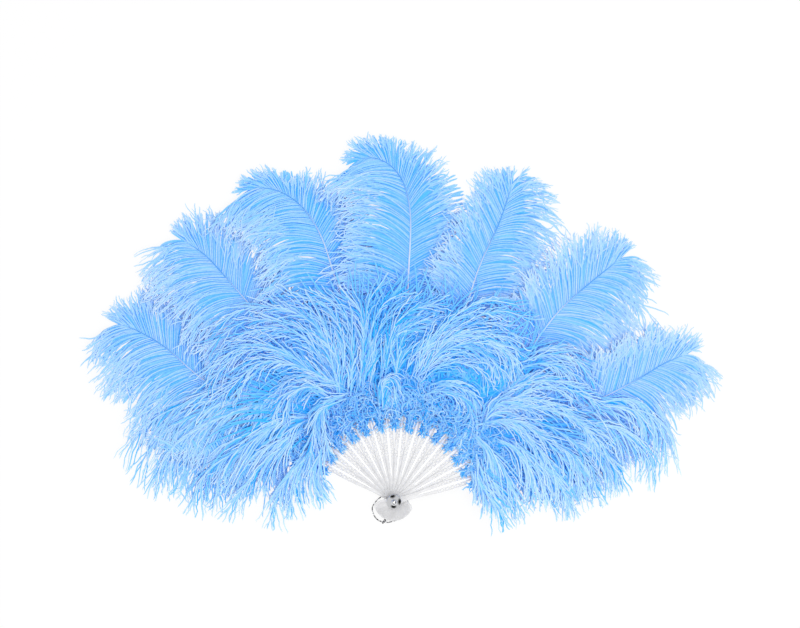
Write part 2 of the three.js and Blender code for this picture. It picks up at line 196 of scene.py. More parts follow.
class NodeBoard:
    """A material's node tree with its Principled shader, for wiring by name."""

    def __init__(self, name: str) -> None:
        """Start a material with nodes."""
        self.material = bpy.data.materials.new(name)
        self.material.use_nodes = True
        self.tree = self.material.node_tree
        self.shader = self.tree.nodes["Principled BSDF"]

    def add(self, kind: str, **settings: object) -> bpy.types.Node:
        """Add a node of a kind and set its properties."""
        node = self.tree.nodes.new(kind)
        for key, value in settings.items():
            setattr(node, key, value)
        return node

    def join(self, source: Socket, target: Socket) -> None:
        """Link two sockets."""
        self.tree.links.new(source, target)

    def set(self, **values: float | Colour) -> None:
        """Set the shader's own sockets, underscores standing for spaces."""
        for key, value in values.items():
            self.shader.inputs[key.replace("_", " ")].default_value = value

    def colour(self, body: Socket) -> None:
        """Give the shader its colour."""
        self.join(body, self.shader.inputs["Base Color"])

    def object_place(self) -> Socket:
        """Place on the object."""
        return self.add("ShaderNodeTexCoord").outputs["Object"]

    def strand_place(self) -> tuple[Socket, Socket, Socket]:
        """Place on the strand map, and its two parts: the tone and the share of the strand's length."""
        where = self.add("ShaderNodeUVMap", uv_map=STRAND_MAP).outputs["UV"]
        parts = self.add("ShaderNodeSeparateXYZ")
        self.join(where, parts.inputs["Vector"])
        return where, parts.outputs["X"], parts.outputs["Y"]

    def ramp(self, share: Socket, stops: list[tuple[float, Colour]]) -> Socket:
        """Colour a share by stops.

        Args:
            share: the socket that is coloured.
            stops: positions and colours, the lowest first.

        Returns:
            The colour socket.
        """
        node = self.add("ShaderNodeValToRGB")
        elements = node.color_ramp.elements
        while len(elements) < len(stops):
            elements.new(0.5)
        for element, (position, colour) in zip(elements, stops):
            element.position = position
            element.color = colour
        self.join(share, node.inputs["Fac"])
        return node.outputs["Color"]

    def noise(self, vector: Socket, scale: float, detail: float) -> Socket:
        """Noise of a scale over a vector.

        Args:
            vector: the place that it is read at.
            scale: how fine it is.
            detail: how many finer layers it has.

        Returns:
            The noise's share.
        """
        node = self.add("ShaderNodeTexNoise")
        node.inputs["Scale"].default_value = scale
        node.inputs["Detail"].default_value = detail
        self.join(vector, node.inputs["Vector"])
        return node.outputs["Fac"]

    def blend(self, kind: str, share: float, base: Socket, over: Socket) -> Socket:
        """Blend two colours.

        Args:
            kind: the blend mode.
            share: how much of the second colour is used.
            base: the first colour.
            over: the second colour.

        Returns:
            The blended colour.
        """
        node = self.add("ShaderNodeMix", data_type="RGBA", blend_type=kind)
        node.inputs["Factor"].default_value = share
        self.join(base, node.inputs["A"])
        self.join(over, node.inputs["B"])
        return node.outputs["Result"]

    def vary_gloss(self, scale: float, smoothest: float, roughest: float) -> None:
        """Vary the shader's roughness over the object by noise.

        Args:
            scale: how fine the noise is.
            smoothest: roughness where the noise is lowest.
            roughest: roughness where it is highest.
        """
        gloss = self.add("ShaderNodeMapRange")
        gloss.inputs["To Min"].default_value = smoothest
        gloss.inputs["To Max"].default_value = roughest
        self.join(self.noise(self.object_place(), scale, 2.0), gloss.inputs["Value"])
        self.join(gloss.outputs["Result"], self.shader.inputs["Roughness"])


@dataclass(frozen=True)
class Finish:
    """A named covering, made once and shared by every piece that has it."""

    name: str

    def wire(self, board: NodeBoard) -> None:
        """Set up the material's nodes."""
        raise NotImplementedError

    def material(self) -> bpy.types.Material:
        """Make the material, or return it if it exists."""
        if self.name not in bpy.data.materials:
            self.wire(NodeBoard(self.name))
        return bpy.data.materials[self.name]


@dataclass(frozen=True)
class FeatherFinish(Finish):
    """Dyed feather: each strand has its own tone, deeper at its root and paler at its tip."""

    deep: Colour
    pale: Colour
    root_dye: tuple[float, float, float] = (0.5, 0.9, 1.0)
    along_share: float = 0.35
    fleck: Colour = (0.80, 0.92, 1.0, 1.0)
    fleck_scale: float = 26.0

    def wire(self, board: NodeBoard) -> None:
        """Set up the material's nodes."""
        where, toned, along = board.strand_place()
        tone = board.ramp(toned, [(0.0, self.deep), (1.0, self.pale)])
        root = (*(part * dye for part, dye in zip(self.deep, self.root_dye)), 1.0)
        length = board.ramp(along, [(0.0, root), (0.4, self.deep), (1.0, self.pale)])
        body = board.blend("MIX", self.along_share, tone, length)
        fleck = board.ramp(board.noise(where, self.fleck_scale, 2.0), [(0.35, self.fleck), (0.65, WHITE)])
        board.colour(board.blend("MULTIPLY", 1.0, body, fleck))
        board.set(Roughness=0.8, Specular_IOR_Level=0.0)


@dataclass(frozen=True)
class ShaftFinish(Finish):
    """Bare feather shaft: nearly white at the quill, taking the dye towards its tip; the white stands partly
    for the quill's own pale colour and partly for a painted highlight.
    """

    name: str = "feather_shaft"
    quill: Colour = (0.93, 0.95, 0.98, 1.0)
    tip: Colour = (0.12, 0.40, 0.86, 1.0)

    def wire(self, board: NodeBoard) -> None:
        """Set up the material's nodes."""
        _, _, along = board.strand_place()
        middle = tuple(mix(a, b, 0.35) for a, b in zip(self.quill, self.tip))
        board.colour(board.ramp(along, [(0.54, self.quill), (0.68, middle), (0.82, self.tip)]))
        board.set(Roughness=0.4, Specular_IOR_Level=0.4)


@dataclass(frozen=True)
class PlasticFinish(Finish):
    """Milky moulded plastic of the sticks, a little cloudy, that lets what lies under it show faintly."""

    name: str = "milky_plastic"
    clear: Colour = (0.78, 0.78, 0.79, 1.0)
    cloudy: Colour = (0.69, 0.69, 0.705, 1.0)
    cover: float = 0.62

    def wire(self, board: NodeBoard) -> None:
        """Set up the material's nodes."""
        cloud = board.noise(board.object_place(), 160.0, 3.0)
        board.colour(board.ramp(cloud, [(0.3, self.cloudy), (0.7, self.clear)]))
        board.vary_gloss(420.0, 0.3, 0.45)
        board.set(IOR=1.49, Specular_IOR_Level=0.5, Alpha=self.cover)


@dataclass(frozen=True)
class ChromeFinish(Finish):
    """Bright plated metal with fine polishing marks."""

    name: str = "bright_chrome"
    plating: Colour = (0.70, 0.71, 0.73, 1.0)

    def wire(self, board: NodeBoard) -> None:
        """Set up the material's nodes."""
        board.vary_gloss(900.0, 0.04, 0.12)
        board.set(Base_Color=self.plating, Metallic=1.0)


@dataclass(frozen=True)
class CordFinish(Finish):
    """Yarn of two colours: a bright wrap, metallic or plain, turns round a darker core."""

    wrap: Colour
    core: Colour
    metal: float
    speckle: float = 620.0

    def wire(self, board: NodeBoard) -> None:
        """Set up the material's nodes."""
        turns = board.noise(board.object_place(), self.speckle, 1.0)
        board.colour(board.ramp(turns, [(0.51, self.core), (0.6, self.wrap)]))
        board.set(Roughness=0.35, Metallic=self.metal)


PLUME_FINISH = FeatherFinish("plume_dye", (0.10, 0.525, 0.965, 1.0), (0.71, 0.805, 0.96, 1.0))
FRONT_FINISH = FeatherFinish("front_dye", (0.035, 0.49, 0.975, 1.0), (0.71, 0.85, 0.965, 1.0))
DOWN_FINISH = FeatherFinish("down_dye", (0.01, 0.44, 0.945, 1.0), (0.70, 0.88, 0.965, 1.0))
SHAFT_FINISH = ShaftFinish()
PLASTIC_FINISH = PlasticFinish()
RIB_FINISH = PlasticFinish("white_rib", (0.97, 0.97, 0.975, 1.0), (0.93, 0.93, 0.94, 1.0), 1.0)
CHROME_FINISH = ChromeFinish()
CORD_FINISH = CordFinish("silver_yarn", (0.85, 0.85, 0.86, 1.0), (0.035, 0.035, 0.04, 1.0), 0.6)
THREAD_FINISH = CordFinish("white_thread", (0.90, 0.91, 0.92, 1.0), (0.72, 0.76, 0.82, 1.0), 0.0)


def dress(piece: bpy.types.Object, finish: Finish, body: str, slot: Slot, *nodes: str) -> None:
    """Give a piece its finish and body, and hide the frame's nodes that it stands for.

    Args:
        piece: the finished object.
        finish: what it is covered with.
        body: the body of the frame that it moves with.
        slot: the record's material slot; not used.
        nodes: the frame's nodes that it stands for.
    """
    piece.data.materials.clear()
    piece.data.materials.append(finish.material())
    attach(piece, body)
    if nodes:
        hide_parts(*nodes)
    LOG.info("%s on %s, %d faces", piece.name, body, len(piece.data.polygons))


# The fan's layout


@dataclass(frozen=True)
class FanLayout:
    """Where the sticks stand, read from the frame and a few sizes."""

    stick_count: int = 13
    back_angle: float = 151.0
    front_angle: float = 17.3
    quill_start: float = 94.0
    tongue_end: float = 126.0
    quill_radius: float = 1.1
    seat_gap: float = 0.3
    plume_sticks: tuple[int, ...] = (2, 4, 6, 7, 8, 10, 12)
    front_sticks: tuple[int, ...] = (1, 3, 5, 7, 9, 11, 13)

    @property
    def step(self) -> float:
        """Angle from one stick to the next."""
        return (self.back_angle - self.front_angle) / (self.stick_count - 1)

    def angle(self, stick: int) -> float:
        """Angle of a stick in the open fan."""
        return self.back_angle - self.step * (stick - 1)

    def node(self, stick: int) -> str:
        """The frame's node for a stick."""
        if stick == 1:
            return "back_guard"
        return "front_guard" if stick == self.stick_count else f"inner_stick_{stick:02d}"

    def body(self, stick: int) -> str:
        """The frame's body for a stick."""
        if stick == 1:
            return "back_guard_side"
        return "front_guard_side" if stick == self.stick_count else f"stick_{stick:02d}_side"

    def bottom(self, stick: int) -> float:
        """Height of a stick's underside."""
        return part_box(self.node(stick))[0].z / MM

    def top(self, stick: int) -> float:
        """Height of a stick's upper side."""
        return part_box(self.node(stick))[1].z / MM

    def quill_height(self, stick: int) -> float:
        """Height of the middle of a quill that lies on a stick."""
        return self.top(stick) + self.seat_gap + self.quill_radius

    def front_quill_height(self, stick: int) -> float:
        """Height of a front feather's quill, over the plume's where the stick has both."""
        over = 2 * self.quill_radius + self.seat_gap if stick in self.plume_sticks else 0.0
        return self.quill_height(stick) + over

    def across(self, stick: int) -> tuple[float, float, float]:
        """Direction across a stick in the table plane."""
        turn = math.radians(self.angle(stick))
        return (-math.sin(turn), math.cos(turn), 0.0)


FAN = FanLayout()


def gather_when_folded(piece: bpy.types.Object) -> None:
    """Give a soft piece a mesh of its own."""
    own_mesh(piece)


# Strands


@dataclass
class StrandBundle:
    """Tapered flat fibres that become one mesh, each a closed three-sided spike."""

    flatness: float = 0.25
    points: list[Array] = field(default_factory=list)
    corners: list[Array] = field(default_factory=list)
    counts: list[Array] = field(default_factory=list)
    places: list[Array] = field(default_factory=list)
    used: int = 0

    def add(self, paths: Array, half_widths: Array, tones: Array, facing: Array) -> None:
        """Add strands that have the same number of points.

        Args:
            paths: strand, point and coordinate, from root to tip.
            half_widths: half the width by strand and point; the tip's isn't used.
            tones: 0 for the deepest and 1 for the palest, by strand.
            facing: by strand, the direction that its flat side faces.
        """
        count, rings, _ = paths.shape
        ahead = unit(np.gradient(paths, axis=1))
        side = unit(np.cross(facing[:, None, :], ahead))
        up = np.cross(ahead, side)
        wide = half_widths[..., None] * side
        deep = half_widths[..., None] * self.flatness * up
        ring = np.stack([wide - 0.5 * deep, deep, -wide - 0.5 * deep], axis=2) + paths[:, :, None, :]
        body = ring[:, :-1].reshape(count, -1, 3)
        self.points.append(np.concatenate([body, paths[:, -1:]], axis=1).reshape(-1, 3))
        self._add_faces(count, rings, tones)

    def _add_faces(self, count: int, rings: int, tones: Array) -> None:
        """Add the faces of strands and their places on the strand map.

        Args:
            count: how many strands.
            rings: points along each.
            tones: their tones.
        """
        per_strand = 3 * (rings - 1) + 1
        apex, last = per_strand - 1, 3 * (rings - 2)
        quads = [(3 * j + a, 3 * j + (a + 1) % 3, 3 * j + 3 + (a + 1) % 3, 3 * j + 3 + a)
                 for j in range(rings - 2) for a in range(3)]
        spikes = [(last + a, last + (a + 1) % 3, apex) for a in range(3)]
        template = np.array([*np.ravel(quads), *np.ravel(spikes), 2, 1, 0])
        sides = np.array([4] * len(quads) + [3] * (len(spikes) + 1))
        offsets = self.used + per_strand * np.arange(count)[:, None]
        self.corners.append((template[None, :] + offsets).ravel())
        self.counts.append(np.tile(sides, count))
        column = np.clip((tones * TONE_COLUMNS).astype(int), 0, TONE_COLUMNS - 1)
        middle = (column + 0.5) / TONE_COLUMNS
        sideways = np.append(np.tile([-0.3, 0.0, 0.3], rings - 1), 0.0) / TONE_COLUMNS
        along = np.append(np.repeat(np.arange(rings - 1), 3), rings - 1) / (rings - 1)
        across = middle[:, None] + sideways[template][None, :]
        upward = np.tile(mix(0.02, 0.98, along)[template], (count, 1))
        upward[:, -2] += 0.02
        self.places.append(np.stack([across, upward], axis=2).reshape(-1, 2))
        self.used += per_strand * count

    def build(self, name: str) -> bpy.types.Object:
        """Make the object."""
        counts = np.concatenate(self.counts)
        starts = np.cumsum(counts) - counts
        mesh = mesh_from(name, np.concatenate(self.points), np.concatenate(self.corners), starts)
        mesh.shade_flat()
        strand_map = mesh.uv_layers.new(name=STRAND_MAP)
        strand_map.data.foreach_set("uv", np.concatenate(self.places).astype(np.float32).ravel())
        return link(name, mesh)


def tapered(count: int, rings: int, half_width: float, spread: float, rng: np.random.Generator) -> Array:
    """Half widths of strands that thin a little towards their tips.

    Args:
        count: how many strands.
        rings: points along each.
        half_width: half the width near the root.
        spread: how much strands differ, as a share.
        rng: the source of chance.

    Returns:
        Half widths by strand and point.
    """
    along = np.linspace(0.0, 1.0, rings)
    profile = half_width * (1.0 - 0.4 * along**2)
    return profile[None, :] * rng.uniform(1 - spread, 1 + spread, (count, 1))


def stations(steps: int) -> Array:
    """Shares of a strand's length at its points, closer together towards the tip."""
    return 1.0 - (1.0 - np.linspace(0.0, 1.0, steps + 1)) ** 1.35


def crimps(count: int, steps: int, strength: float, growth: float, rng: np.random.Generator) -> Array:
    """Crimps of strands, as heading changes in radians.

    Args:
        count: how many strands.
        steps: steps along each.
        strength: size of the crimps at the tip, in degrees.
        growth: how late they set in; 0 is all along.
        rng: the source of chance.

    Returns:
        Heading changes by strand and step.
    """
    rough = rng.normal(0.0, strength, (count, steps + 2))
    waves = 0.38 * (rough[:, :-2] + 2 * rough[:, 1:-1] + rough[:, 2:])
    return np.radians(waves) * stations(steps)[1:] ** growth


def grow(roots: Array, headings: Array, lengths: Array, turns: Array, droop: Array, kinks: Array) -> Array:
    """Grow strands over the table plane from their roots.

    Args:
        roots: start of each strand.
        headings: direction of each strand at its root, in radians.
        lengths: length of each.
        turns: how far each curls on its way, in radians.
        droop: how strongly each falls towards the bottom of the picture.
        kinks: heading changes by strand and step.

    Returns:
        Points by strand and step, in the plane.
    """
    count, steps = kinks.shape
    share = stations(steps)
    points = np.empty((count, steps + 1, 2))
    points[:, 0] = roots
    heading = headings.copy()
    for step, stride in enumerate(np.diff(share)):
        middle = share[step] + stride / 2
        heading = heading + (2 * middle * turns - droop * np.cos(heading)) * stride
        way = heading + kinks[:, step]
        ahead = np.stack([np.cos(way), np.sin(way)], axis=1)
        points[:, step + 1] = points[:, step] + ahead * (lengths * stride)[:, None]
    return points


def by_group(group: Array, size: float, rng: np.random.Generator) -> Array:
    """A random amount for each group, given to all its members."""
    return rng.normal(0.0, size, group.max() + 1)[group]


def read(column: Array, along: Array) -> Array:
    """Read a column of points at fractions of its steps."""
    return np.interp(along, np.arange(len(column)), column)


def from_photo(spot: Spot) -> Array:
    """Place in the table plane of a pixel of the photograph."""
    return np.array([spot[0] - RIVET_PX[0], RIVET_PX[1] - spot[1]]) * MM_PER_PX


def turned(points: Array, angle: float) -> Array:
    """Turn points of the plane about the origin."""
    cos, sin = math.cos(angle), math.sin(angle)
    return points @ np.array([[cos, sin], [-sin, cos]])


def bent(points: Array, angle: float) -> Array:
    """Bend a line of the plane more and more from its start.

    Args:
        points: the points of the line.
        angle: how far its end turns, in radians.

    Returns:
        The points of the bent line.
    """
    x, y = np.diff(points, axis=0).T
    turns = angle * (np.arange(len(x)) + 0.5) / len(x)
    cos, sin = np.cos(turns), np.sin(turns)
    moved = np.column_stack([cos * x - sin * y, sin * x + cos * y])
    return np.vstack([points[:1], points[0] + np.cumsum(moved, axis=0)])


def turn_between(start: Array, points: Array) -> Array:
    """Angle round the rivet from each start to its points, in radians."""
    cross = start[:, None, 0] * points[..., 1] - start[:, None, 1] * points[..., 0]
    dot = start[:, None, 0] * points[..., 0] + start[:, None, 1] * points[..., 1]
    return np.arctan2(cross, dot)


def leaning(count: int, tilt: float, rng: np.random.Generator) -> Array:
    """Facings near straight up, tilted by chance."""
    facing = rng.normal(0.0, tilt, (count, 3))
    facing[:, 2] = 1.0
    return unit(facing)


def lifted(plan: Array, height: Array) -> Array:
    """Points in space over places in the plane, by strand and point."""
    return np.concatenate([plan, np.broadcast_to(height, plan.shape[:2])[..., None]], axis=2)


# Camera and cord come first


@dataclass
class PhotoCamera:
    """A long lens straight above the table, framed as the photograph is."""

    lens: float = 100.0
    sensor: float = 36.0
    focus_height: float = 10.0

    def build(self) -> None:
        """Make the camera and give it to the scene."""
        data = bpy.data.cameras.new("photo_camera")
        data.lens = self.lens
        data.sensor_width = self.sensor
        data.clip_end = 100.0
        camera = link("photo_camera", data)
        distance = PHOTO_WIDTH_PX * MM_PER_PX * self.lens / self.sensor
        across = (PHOTO_WIDTH_PX / 2 - RIVET_PX[0]) * MM_PER_PX
        upward = (RIVET_PX[1] - PHOTO_HEIGHT_PX / 2) * MM_PER_PX
        camera.location = (across * MM, upward * MM, (self.focus_height + distance) * MM)
        bpy.context.scene.camera = camera


@dataclass
class Yarn:
    """Twisted plies swept along a line as one closed tube."""

    radius: float
    plies: int
    lay_length: float
    groove: float = 0.3
    sides: int = 12

    def sweep(self, name: str, line: Array, closed: bool = False) -> bpy.types.Object:
        """Make the tube.

        Args:
            name: name of the object.
            line: the points that it follows.
            closed: whether the last point joins the first.

        Returns:
            The object.
        """
        count = len(line)
        if closed:
            ahead = unit(np.roll(line, -1, axis=0) - np.roll(line, 1, axis=0))
        else:
            ahead = unit(np.gradient(line, axis=0))
        side = unit(np.cross(UP, ahead))
        up = np.cross(ahead, side)
        travelled = np.linspace(0.0, length_of(line), count)
        around = np.linspace(0.0, 2 * math.pi, self.sides, endpoint=False)
        lay = self.plies * around[None, :] - 2 * math.pi * self.plies * travelled[:, None] / self.lay_length
        reach = self.radius * (1.0 - self.groove * (0.5 - 0.5 * np.cos(lay)))
        rings = (line[:, None, :] + (reach * np.cos(around))[..., None] * side[:, None, :]
                 + (reach * np.sin(around))[..., None] * up[:, None, :])
        return link(name, self._skin(name, rings, closed))

    def _skin(self, name: str, rings: Array, closed: bool) -> bpy.types.Mesh:
        """Close rings of points into a mesh.

        Args:
            name: name of the mesh.
            rings: ring, point and coordinate.
            closed: whether the last ring joins the first.

        Returns:
            The mesh.
        """
        count, sides, _ = rings.shape
        index = np.arange(count * sides).reshape(count, sides)
        spans = index if closed else index[:-1]
        onward = np.roll(index, -1, axis=0)[: len(spans)]
        quads = np.stack([spans, np.roll(spans, -1, axis=1), np.roll(onward, -1, axis=1), onward], axis=2)
        corners, sizes = quads.ravel(), np.full(quads.shape[0] * sides, 4)
        if not closed:
            corners = np.concatenate([corners, index[0][::-1], index[-1]])
            sizes = np.concatenate([sizes, [sides, sides]])
        return mesh_from(name, rings.reshape(-1, 3), corners, np.cumsum(sizes) - sizes)


@dataclass
class WristLoop:
    """Loop of silver cord behind the rivet, tied with a knot whose ends fray."""

    radius: float = 0.7
    head_height: float = 0.9
    head_radius: float = 4.5
    lift: float = 0.85
    sink_over: float = 6.0
    route: tuple[Spot, ...] = (
        (-10.5, -24.4), (-5.5, -24.2), (2.2, -22.0), (7.0, -18.4), (9.8, -13.2), (11.6, -9.2), (14.2, -5.8),
        (15.4, -1.6), (12.2, 2.2), (6.4, 3.2), (0.0, 2.6), (-6.2, 3.6), (-13.2, 4.2), (-18.7, 0.2),
        (-22.2, -4.4), (-24.0, -8.6), (-23.3, -13.2), (-21.5, -17.6), (-18.4, -21.2), (-14.0, -23.5),
    )
    knot_at: Spot = (-12.3, -24.1)
    knot_radius: float = 1.5
    knot_yarn_radius: float = 0.45
    tail_turns: Spot = (26.0, 54.0)
    tail_length: float = 5.0
    tail_fibres: int = 9
    tail_end_height: float = 0.35
    fibre_half: float = 0.2
    body: str = FAN.body(1)

    def height(self, x: float, y: float) -> float:
        """Height of the cord's middle: on the table, and over the rivet's back head."""
        over_head = self.head_height + FAN.seat_gap + self.radius
        away = math.hypot(x, y) - self.head_radius - self.radius - FAN.seat_gap
        return float(mix(over_head, self.lift, ease(away / self.sink_over)))

    def build(self) -> None:
        knots = np.array([(x, y, self.height(x, y)) for x, y in self.route])
        line = smooth_line(knots, 260)
        loop = Yarn(self.radius, plies=2, lay_length=4.2).sweep("wrist_cord_yarn", line)
        dress(loop, CORD_FINISH, self.body, Slot.CORD, "wrist_cord")
        knot = self.build_knot()
        dress(knot, CORD_FINISH, self.body, Slot.CORD, "cord_knot")

    def build_knot(self) -> bpy.types.Object:
        """Tie a trefoil of the same yarn and join its two frayed ends to it."""
        turn = np.linspace(0.0, 2 * math.pi, 90, endpoint=False)
        trefoil = np.stack([np.sin(turn) + 2 * np.sin(2 * turn), np.cos(turn) - 2 * np.cos(2 * turn),
                            -1.1 * np.sin(3 * turn)], axis=1) * self.knot_radius * 0.3
        centre = np.array([*self.knot_at, self.knot_radius])
        yarn = Yarn(self.knot_yarn_radius, plies=2, lay_length=2.4, sides=8)
        tied = yarn.sweep("cord_knot_tied", trefoil + centre, closed=True)
        pick(tied, self.fray())
        bpy.ops.object.join()
        return tied

    def fray(self) -> bpy.types.Object:
        """Make the loose fibres of the cord's two ends."""
        rng = np.random.default_rng(61)
        count, steps = self.tail_fibres, 6
        fibres = StrandBundle(flatness=0.9)
        for tail in self.tail_turns:
            headings = np.radians(tail + rng.normal(0.0, 9.0, count))
            kinks = crimps(count, steps, 14.0, 0.8, rng)
            lengths = self.tail_length * rng.uniform(0.75, 1.05, count)
            roots = np.array(self.knot_at) + rng.normal(0.0, 0.2, (count, 2))
            plan = grow(roots, headings, lengths, np.zeros(count), np.zeros(count), kinks)
            fall = mix(self.knot_radius, self.tail_end_height, np.linspace(0.0, 1.0, steps + 1))
            paths = lifted(plan, fall + rng.uniform(0.0, 0.3, (count, 1)))
            widths = tapered(count, steps + 1, self.fibre_half, 0.2, rng)
            fibres.add(paths, widths, rng.uniform(0, 1, count), leaning(count, 0.3, rng))
        return fibres.build("cord_ends")


# Sticks, thread and rivet


@dataclass
class Sticks:
    """Thirteen pierced sticks of one outline, the two guards thicker."""

    butt_length: float = 22.0
    butt_centre: float = 14.0
    butt_half: float = 5.8
    neck_at: float = 17.0
    neck_half: float = 3.1
    blade_full_at: float = 62.0
    blade_half: float = 5.7
    blade_length: float = 83.0
    blade_corner: float = 3.0
    tongue_half: float = 2.6
    pin_hole: float = 1.6
    thread_hole: float = 0.9
    thread_at: float = 106.0
    pierce_rows: int = 5
    pierce_start: float = 51.0
    pierce_end: float = 78.0
    pierce_half: Spot = (1.45, 0.95)
    pierce_beside_rib: float = 2.1
    pierce_margin: float = 1.9
    drop_at: float = 36.0
    drop_half: Spot = (2.2, 0.9)
    edge_round: float = 0.22
    rib: tuple[Spot, ...] = (
        (27.0, 0.0), (31.0, 0.4), (46.0, 0.8), (60.0, 1.1), (84.0, 1.1), (91.0, 0.6), (96.0, 0.0))
    rib_height: float = 0.26
    rib_round: float = 0.1

    def half_width(self, along: float) -> float:
        """Half the width of the outline.

        Args:
            along: distance from the rivet, below zero towards the butt.

        Returns:
            Half the width there.
        """
        if along < -self.butt_centre:
            share = (-self.butt_centre - along) / (self.butt_length - self.butt_centre)
            return self.butt_half * math.sqrt(max(0.0, 1 - share * share))
        if along < self.neck_at:
            share = (along + self.butt_centre) / (self.neck_at + self.butt_centre)
            return float(mix(self.butt_half, self.neck_half, ease(share)))
        if along < self.blade_full_at:
            share = (along - self.neck_at) / (self.blade_full_at - self.neck_at)
            return float(mix(self.neck_half, self.blade_half, ease(share)))
        if along < self.blade_length - self.blade_corner:
            return self.blade_half
        if along < self.blade_length:
            share = (along - self.blade_length + self.blade_corner) / self.blade_corner
            return mix(self.tongue_half, self.blade_half, math.sqrt(1 - share * share))
        return self.tongue_half

    def outline(self) -> list[Spot]:
        """Points round the stick."""
        butt_turns = np.radians(np.linspace(9.0, 90.0, 10))
        corner_turns = np.radians(np.linspace(0.0, 90.0, 7))
        places = [*(-self.butt_centre - (self.butt_length - self.butt_centre) * np.cos(butt_turns)),
                  *np.linspace(-self.butt_centre, self.neck_at, 13)[1:],
                  *np.linspace(self.neck_at, self.blade_full_at, 13)[1:],
                  *(self.blade_length - self.blade_corner * (1 - np.sin(corner_turns)))]
        upper = [(along, self.half_width(along)) for along in places]
        tip_centre = FAN.tongue_end - self.tongue_half
        for turn in np.radians(np.linspace(90.0, 0.0, 6)[:-1]):
            upper.append((tip_centre + self.tongue_half * math.cos(turn), self.tongue_half * math.sin(turn)))
        lower = [(x, -y) for x, y in reversed(upper)]
        return [(-self.butt_length, 0.0), *upper, (FAN.tongue_end, 0.0), *lower]

    def holes(self) -> list[list[Spot]]:
        """Rings of points for the bores and the pierced pattern."""
        rings = [self.oval(0.0, 0.0, self.pin_hole, self.pin_hole),
                 self.oval(self.thread_at, 0.0, self.thread_hole, self.thread_hole),
                 self.oval(self.drop_at, 0.0, *self.drop_half)]
        pitch = (self.pierce_end - self.pierce_start) / (self.pierce_rows - 0.5)
        for row in range(self.pierce_rows):
            middle = self.pierce_start + row * pitch
            outer = middle + pitch / 2
            side = self.half_width(outer) - self.pierce_margin
            for x, y in ((middle, self.pierce_beside_rib), (outer, side)):
                rings += [self.oval(x, y, *self.pierce_half), self.oval(x, -y, *self.pierce_half)]
        return rings

    @staticmethod
    def oval(x: float, y: float, half_length: float, half_width: float, sides: int = 14) -> list[Spot]:
        """Ring of points round an ellipse."""
        turns = np.linspace(0.0, 2 * math.pi, sides, endpoint=False)
        return [(x + half_length * math.cos(t), y + half_width * math.sin(t)) for t in turns]

    def cut(self, name: str, rings: list[list[Spot]], thickness: float, rounding: float) -> bpy.types.Object:
        """Cut a flat piece with rounded edges from rings of points.

        Args:
            name: name of the object.
            rings: the outline and the holes in it.
            thickness: how thick it is.
            rounding: radius of its edges.

        Returns:
            A mesh object lying along +X, its middle at height zero.
        """
        flat = bpy.data.curves.new(name, "CURVE")
        flat.dimensions = "2D"
        flat.fill_mode = "BOTH"
        flat.extrude = (thickness / 2 - rounding) * MM
        flat.bevel_depth = rounding * MM
        flat.bevel_resolution = 1
        flat.offset = -rounding * MM
        for ring in rings:
            spline = flat.splines.new("POLY")
            spline.points.add(len(ring) - 1)
            spline.points.foreach_set("co", np.array([(x * MM, y * MM, 0, 1) for x, y in ring]).ravel())
            spline.use_cyclic_u = True
        piece = link(name, flat)
        pick(piece)
        bpy.ops.object.convert(target="MESH")
        self.close()
        return piece

    @staticmethod
    def close() -> None:
        """Merge the seams of the piece just cut, turn its faces outwards and smooth its rounded edges."""
        bpy.ops.object.mode_set(mode="EDIT")
        bpy.ops.mesh.select_all(action="SELECT")
        bpy.ops.mesh.remove_doubles(threshold=0.00001)
        bpy.ops.mesh.normals_make_consistent(inside=False)
        bpy.ops.object.mode_set(mode="OBJECT")
        bpy.ops.object.shade_smooth_by_angle(angle=math.radians(40))

    @staticmethod
    def place(model: bpy.types.Object, name: str, stick: int, height: float) -> bpy.types.Object:
        """Set a copy of a model on a stick's line.

        Args:
            model: the piece along +X.
            name: name of the copy.
            stick: the stick.
            height: height of the copy's middle.

        Returns:
            The copy, with a mesh of its own.
        """
        piece = link(name, model.data.copy())
        piece.data.name = name
        piece.location.z = height * MM
        piece.rotation_euler.z = math.radians(FAN.angle(stick))
        pick(piece)
        bpy.ops.object.transform_apply(location=True, rotation=True, scale=True)
        return piece

    def build(self) -> None:
        """Make every stick in its place with the rib along its front, and dress them."""
        rings = [self.outline(), *self.holes()]
        guard = self.cut("guard_model", rings, FAN.top(1) - FAN.bottom(1), self.edge_round)
        inner = self.cut("inner_model", rings, FAN.top(2) - FAN.bottom(2), self.edge_round)
        ridge = [*self.rib, *((x, -y) for x, y in reversed(self.rib[1:-1]))]
        rib = self.cut("rib_model", [ridge], self.rib_height, self.rib_round)
        for stick in range(1, FAN.stick_count + 1):
            node = FAN.node(stick)
            model = guard if stick in (1, FAN.stick_count) else inner
            piece = self.place(model, f"{node}_carved", stick, (FAN.top(stick) + FAN.bottom(stick)) / 2)
            dress(piece, PLASTIC_FINISH, FAN.body(stick), Slot.PLASTIC, node)
            raised = self.place(rib, f"{node}_rib", stick, FAN.top(stick) + self.rib_height / 2)
            dress(raised, RIB_FINISH, FAN.body(stick), Slot.PLASTIC)
        for model in (guard, inner, rib):
            bpy.data.objects.remove(model)


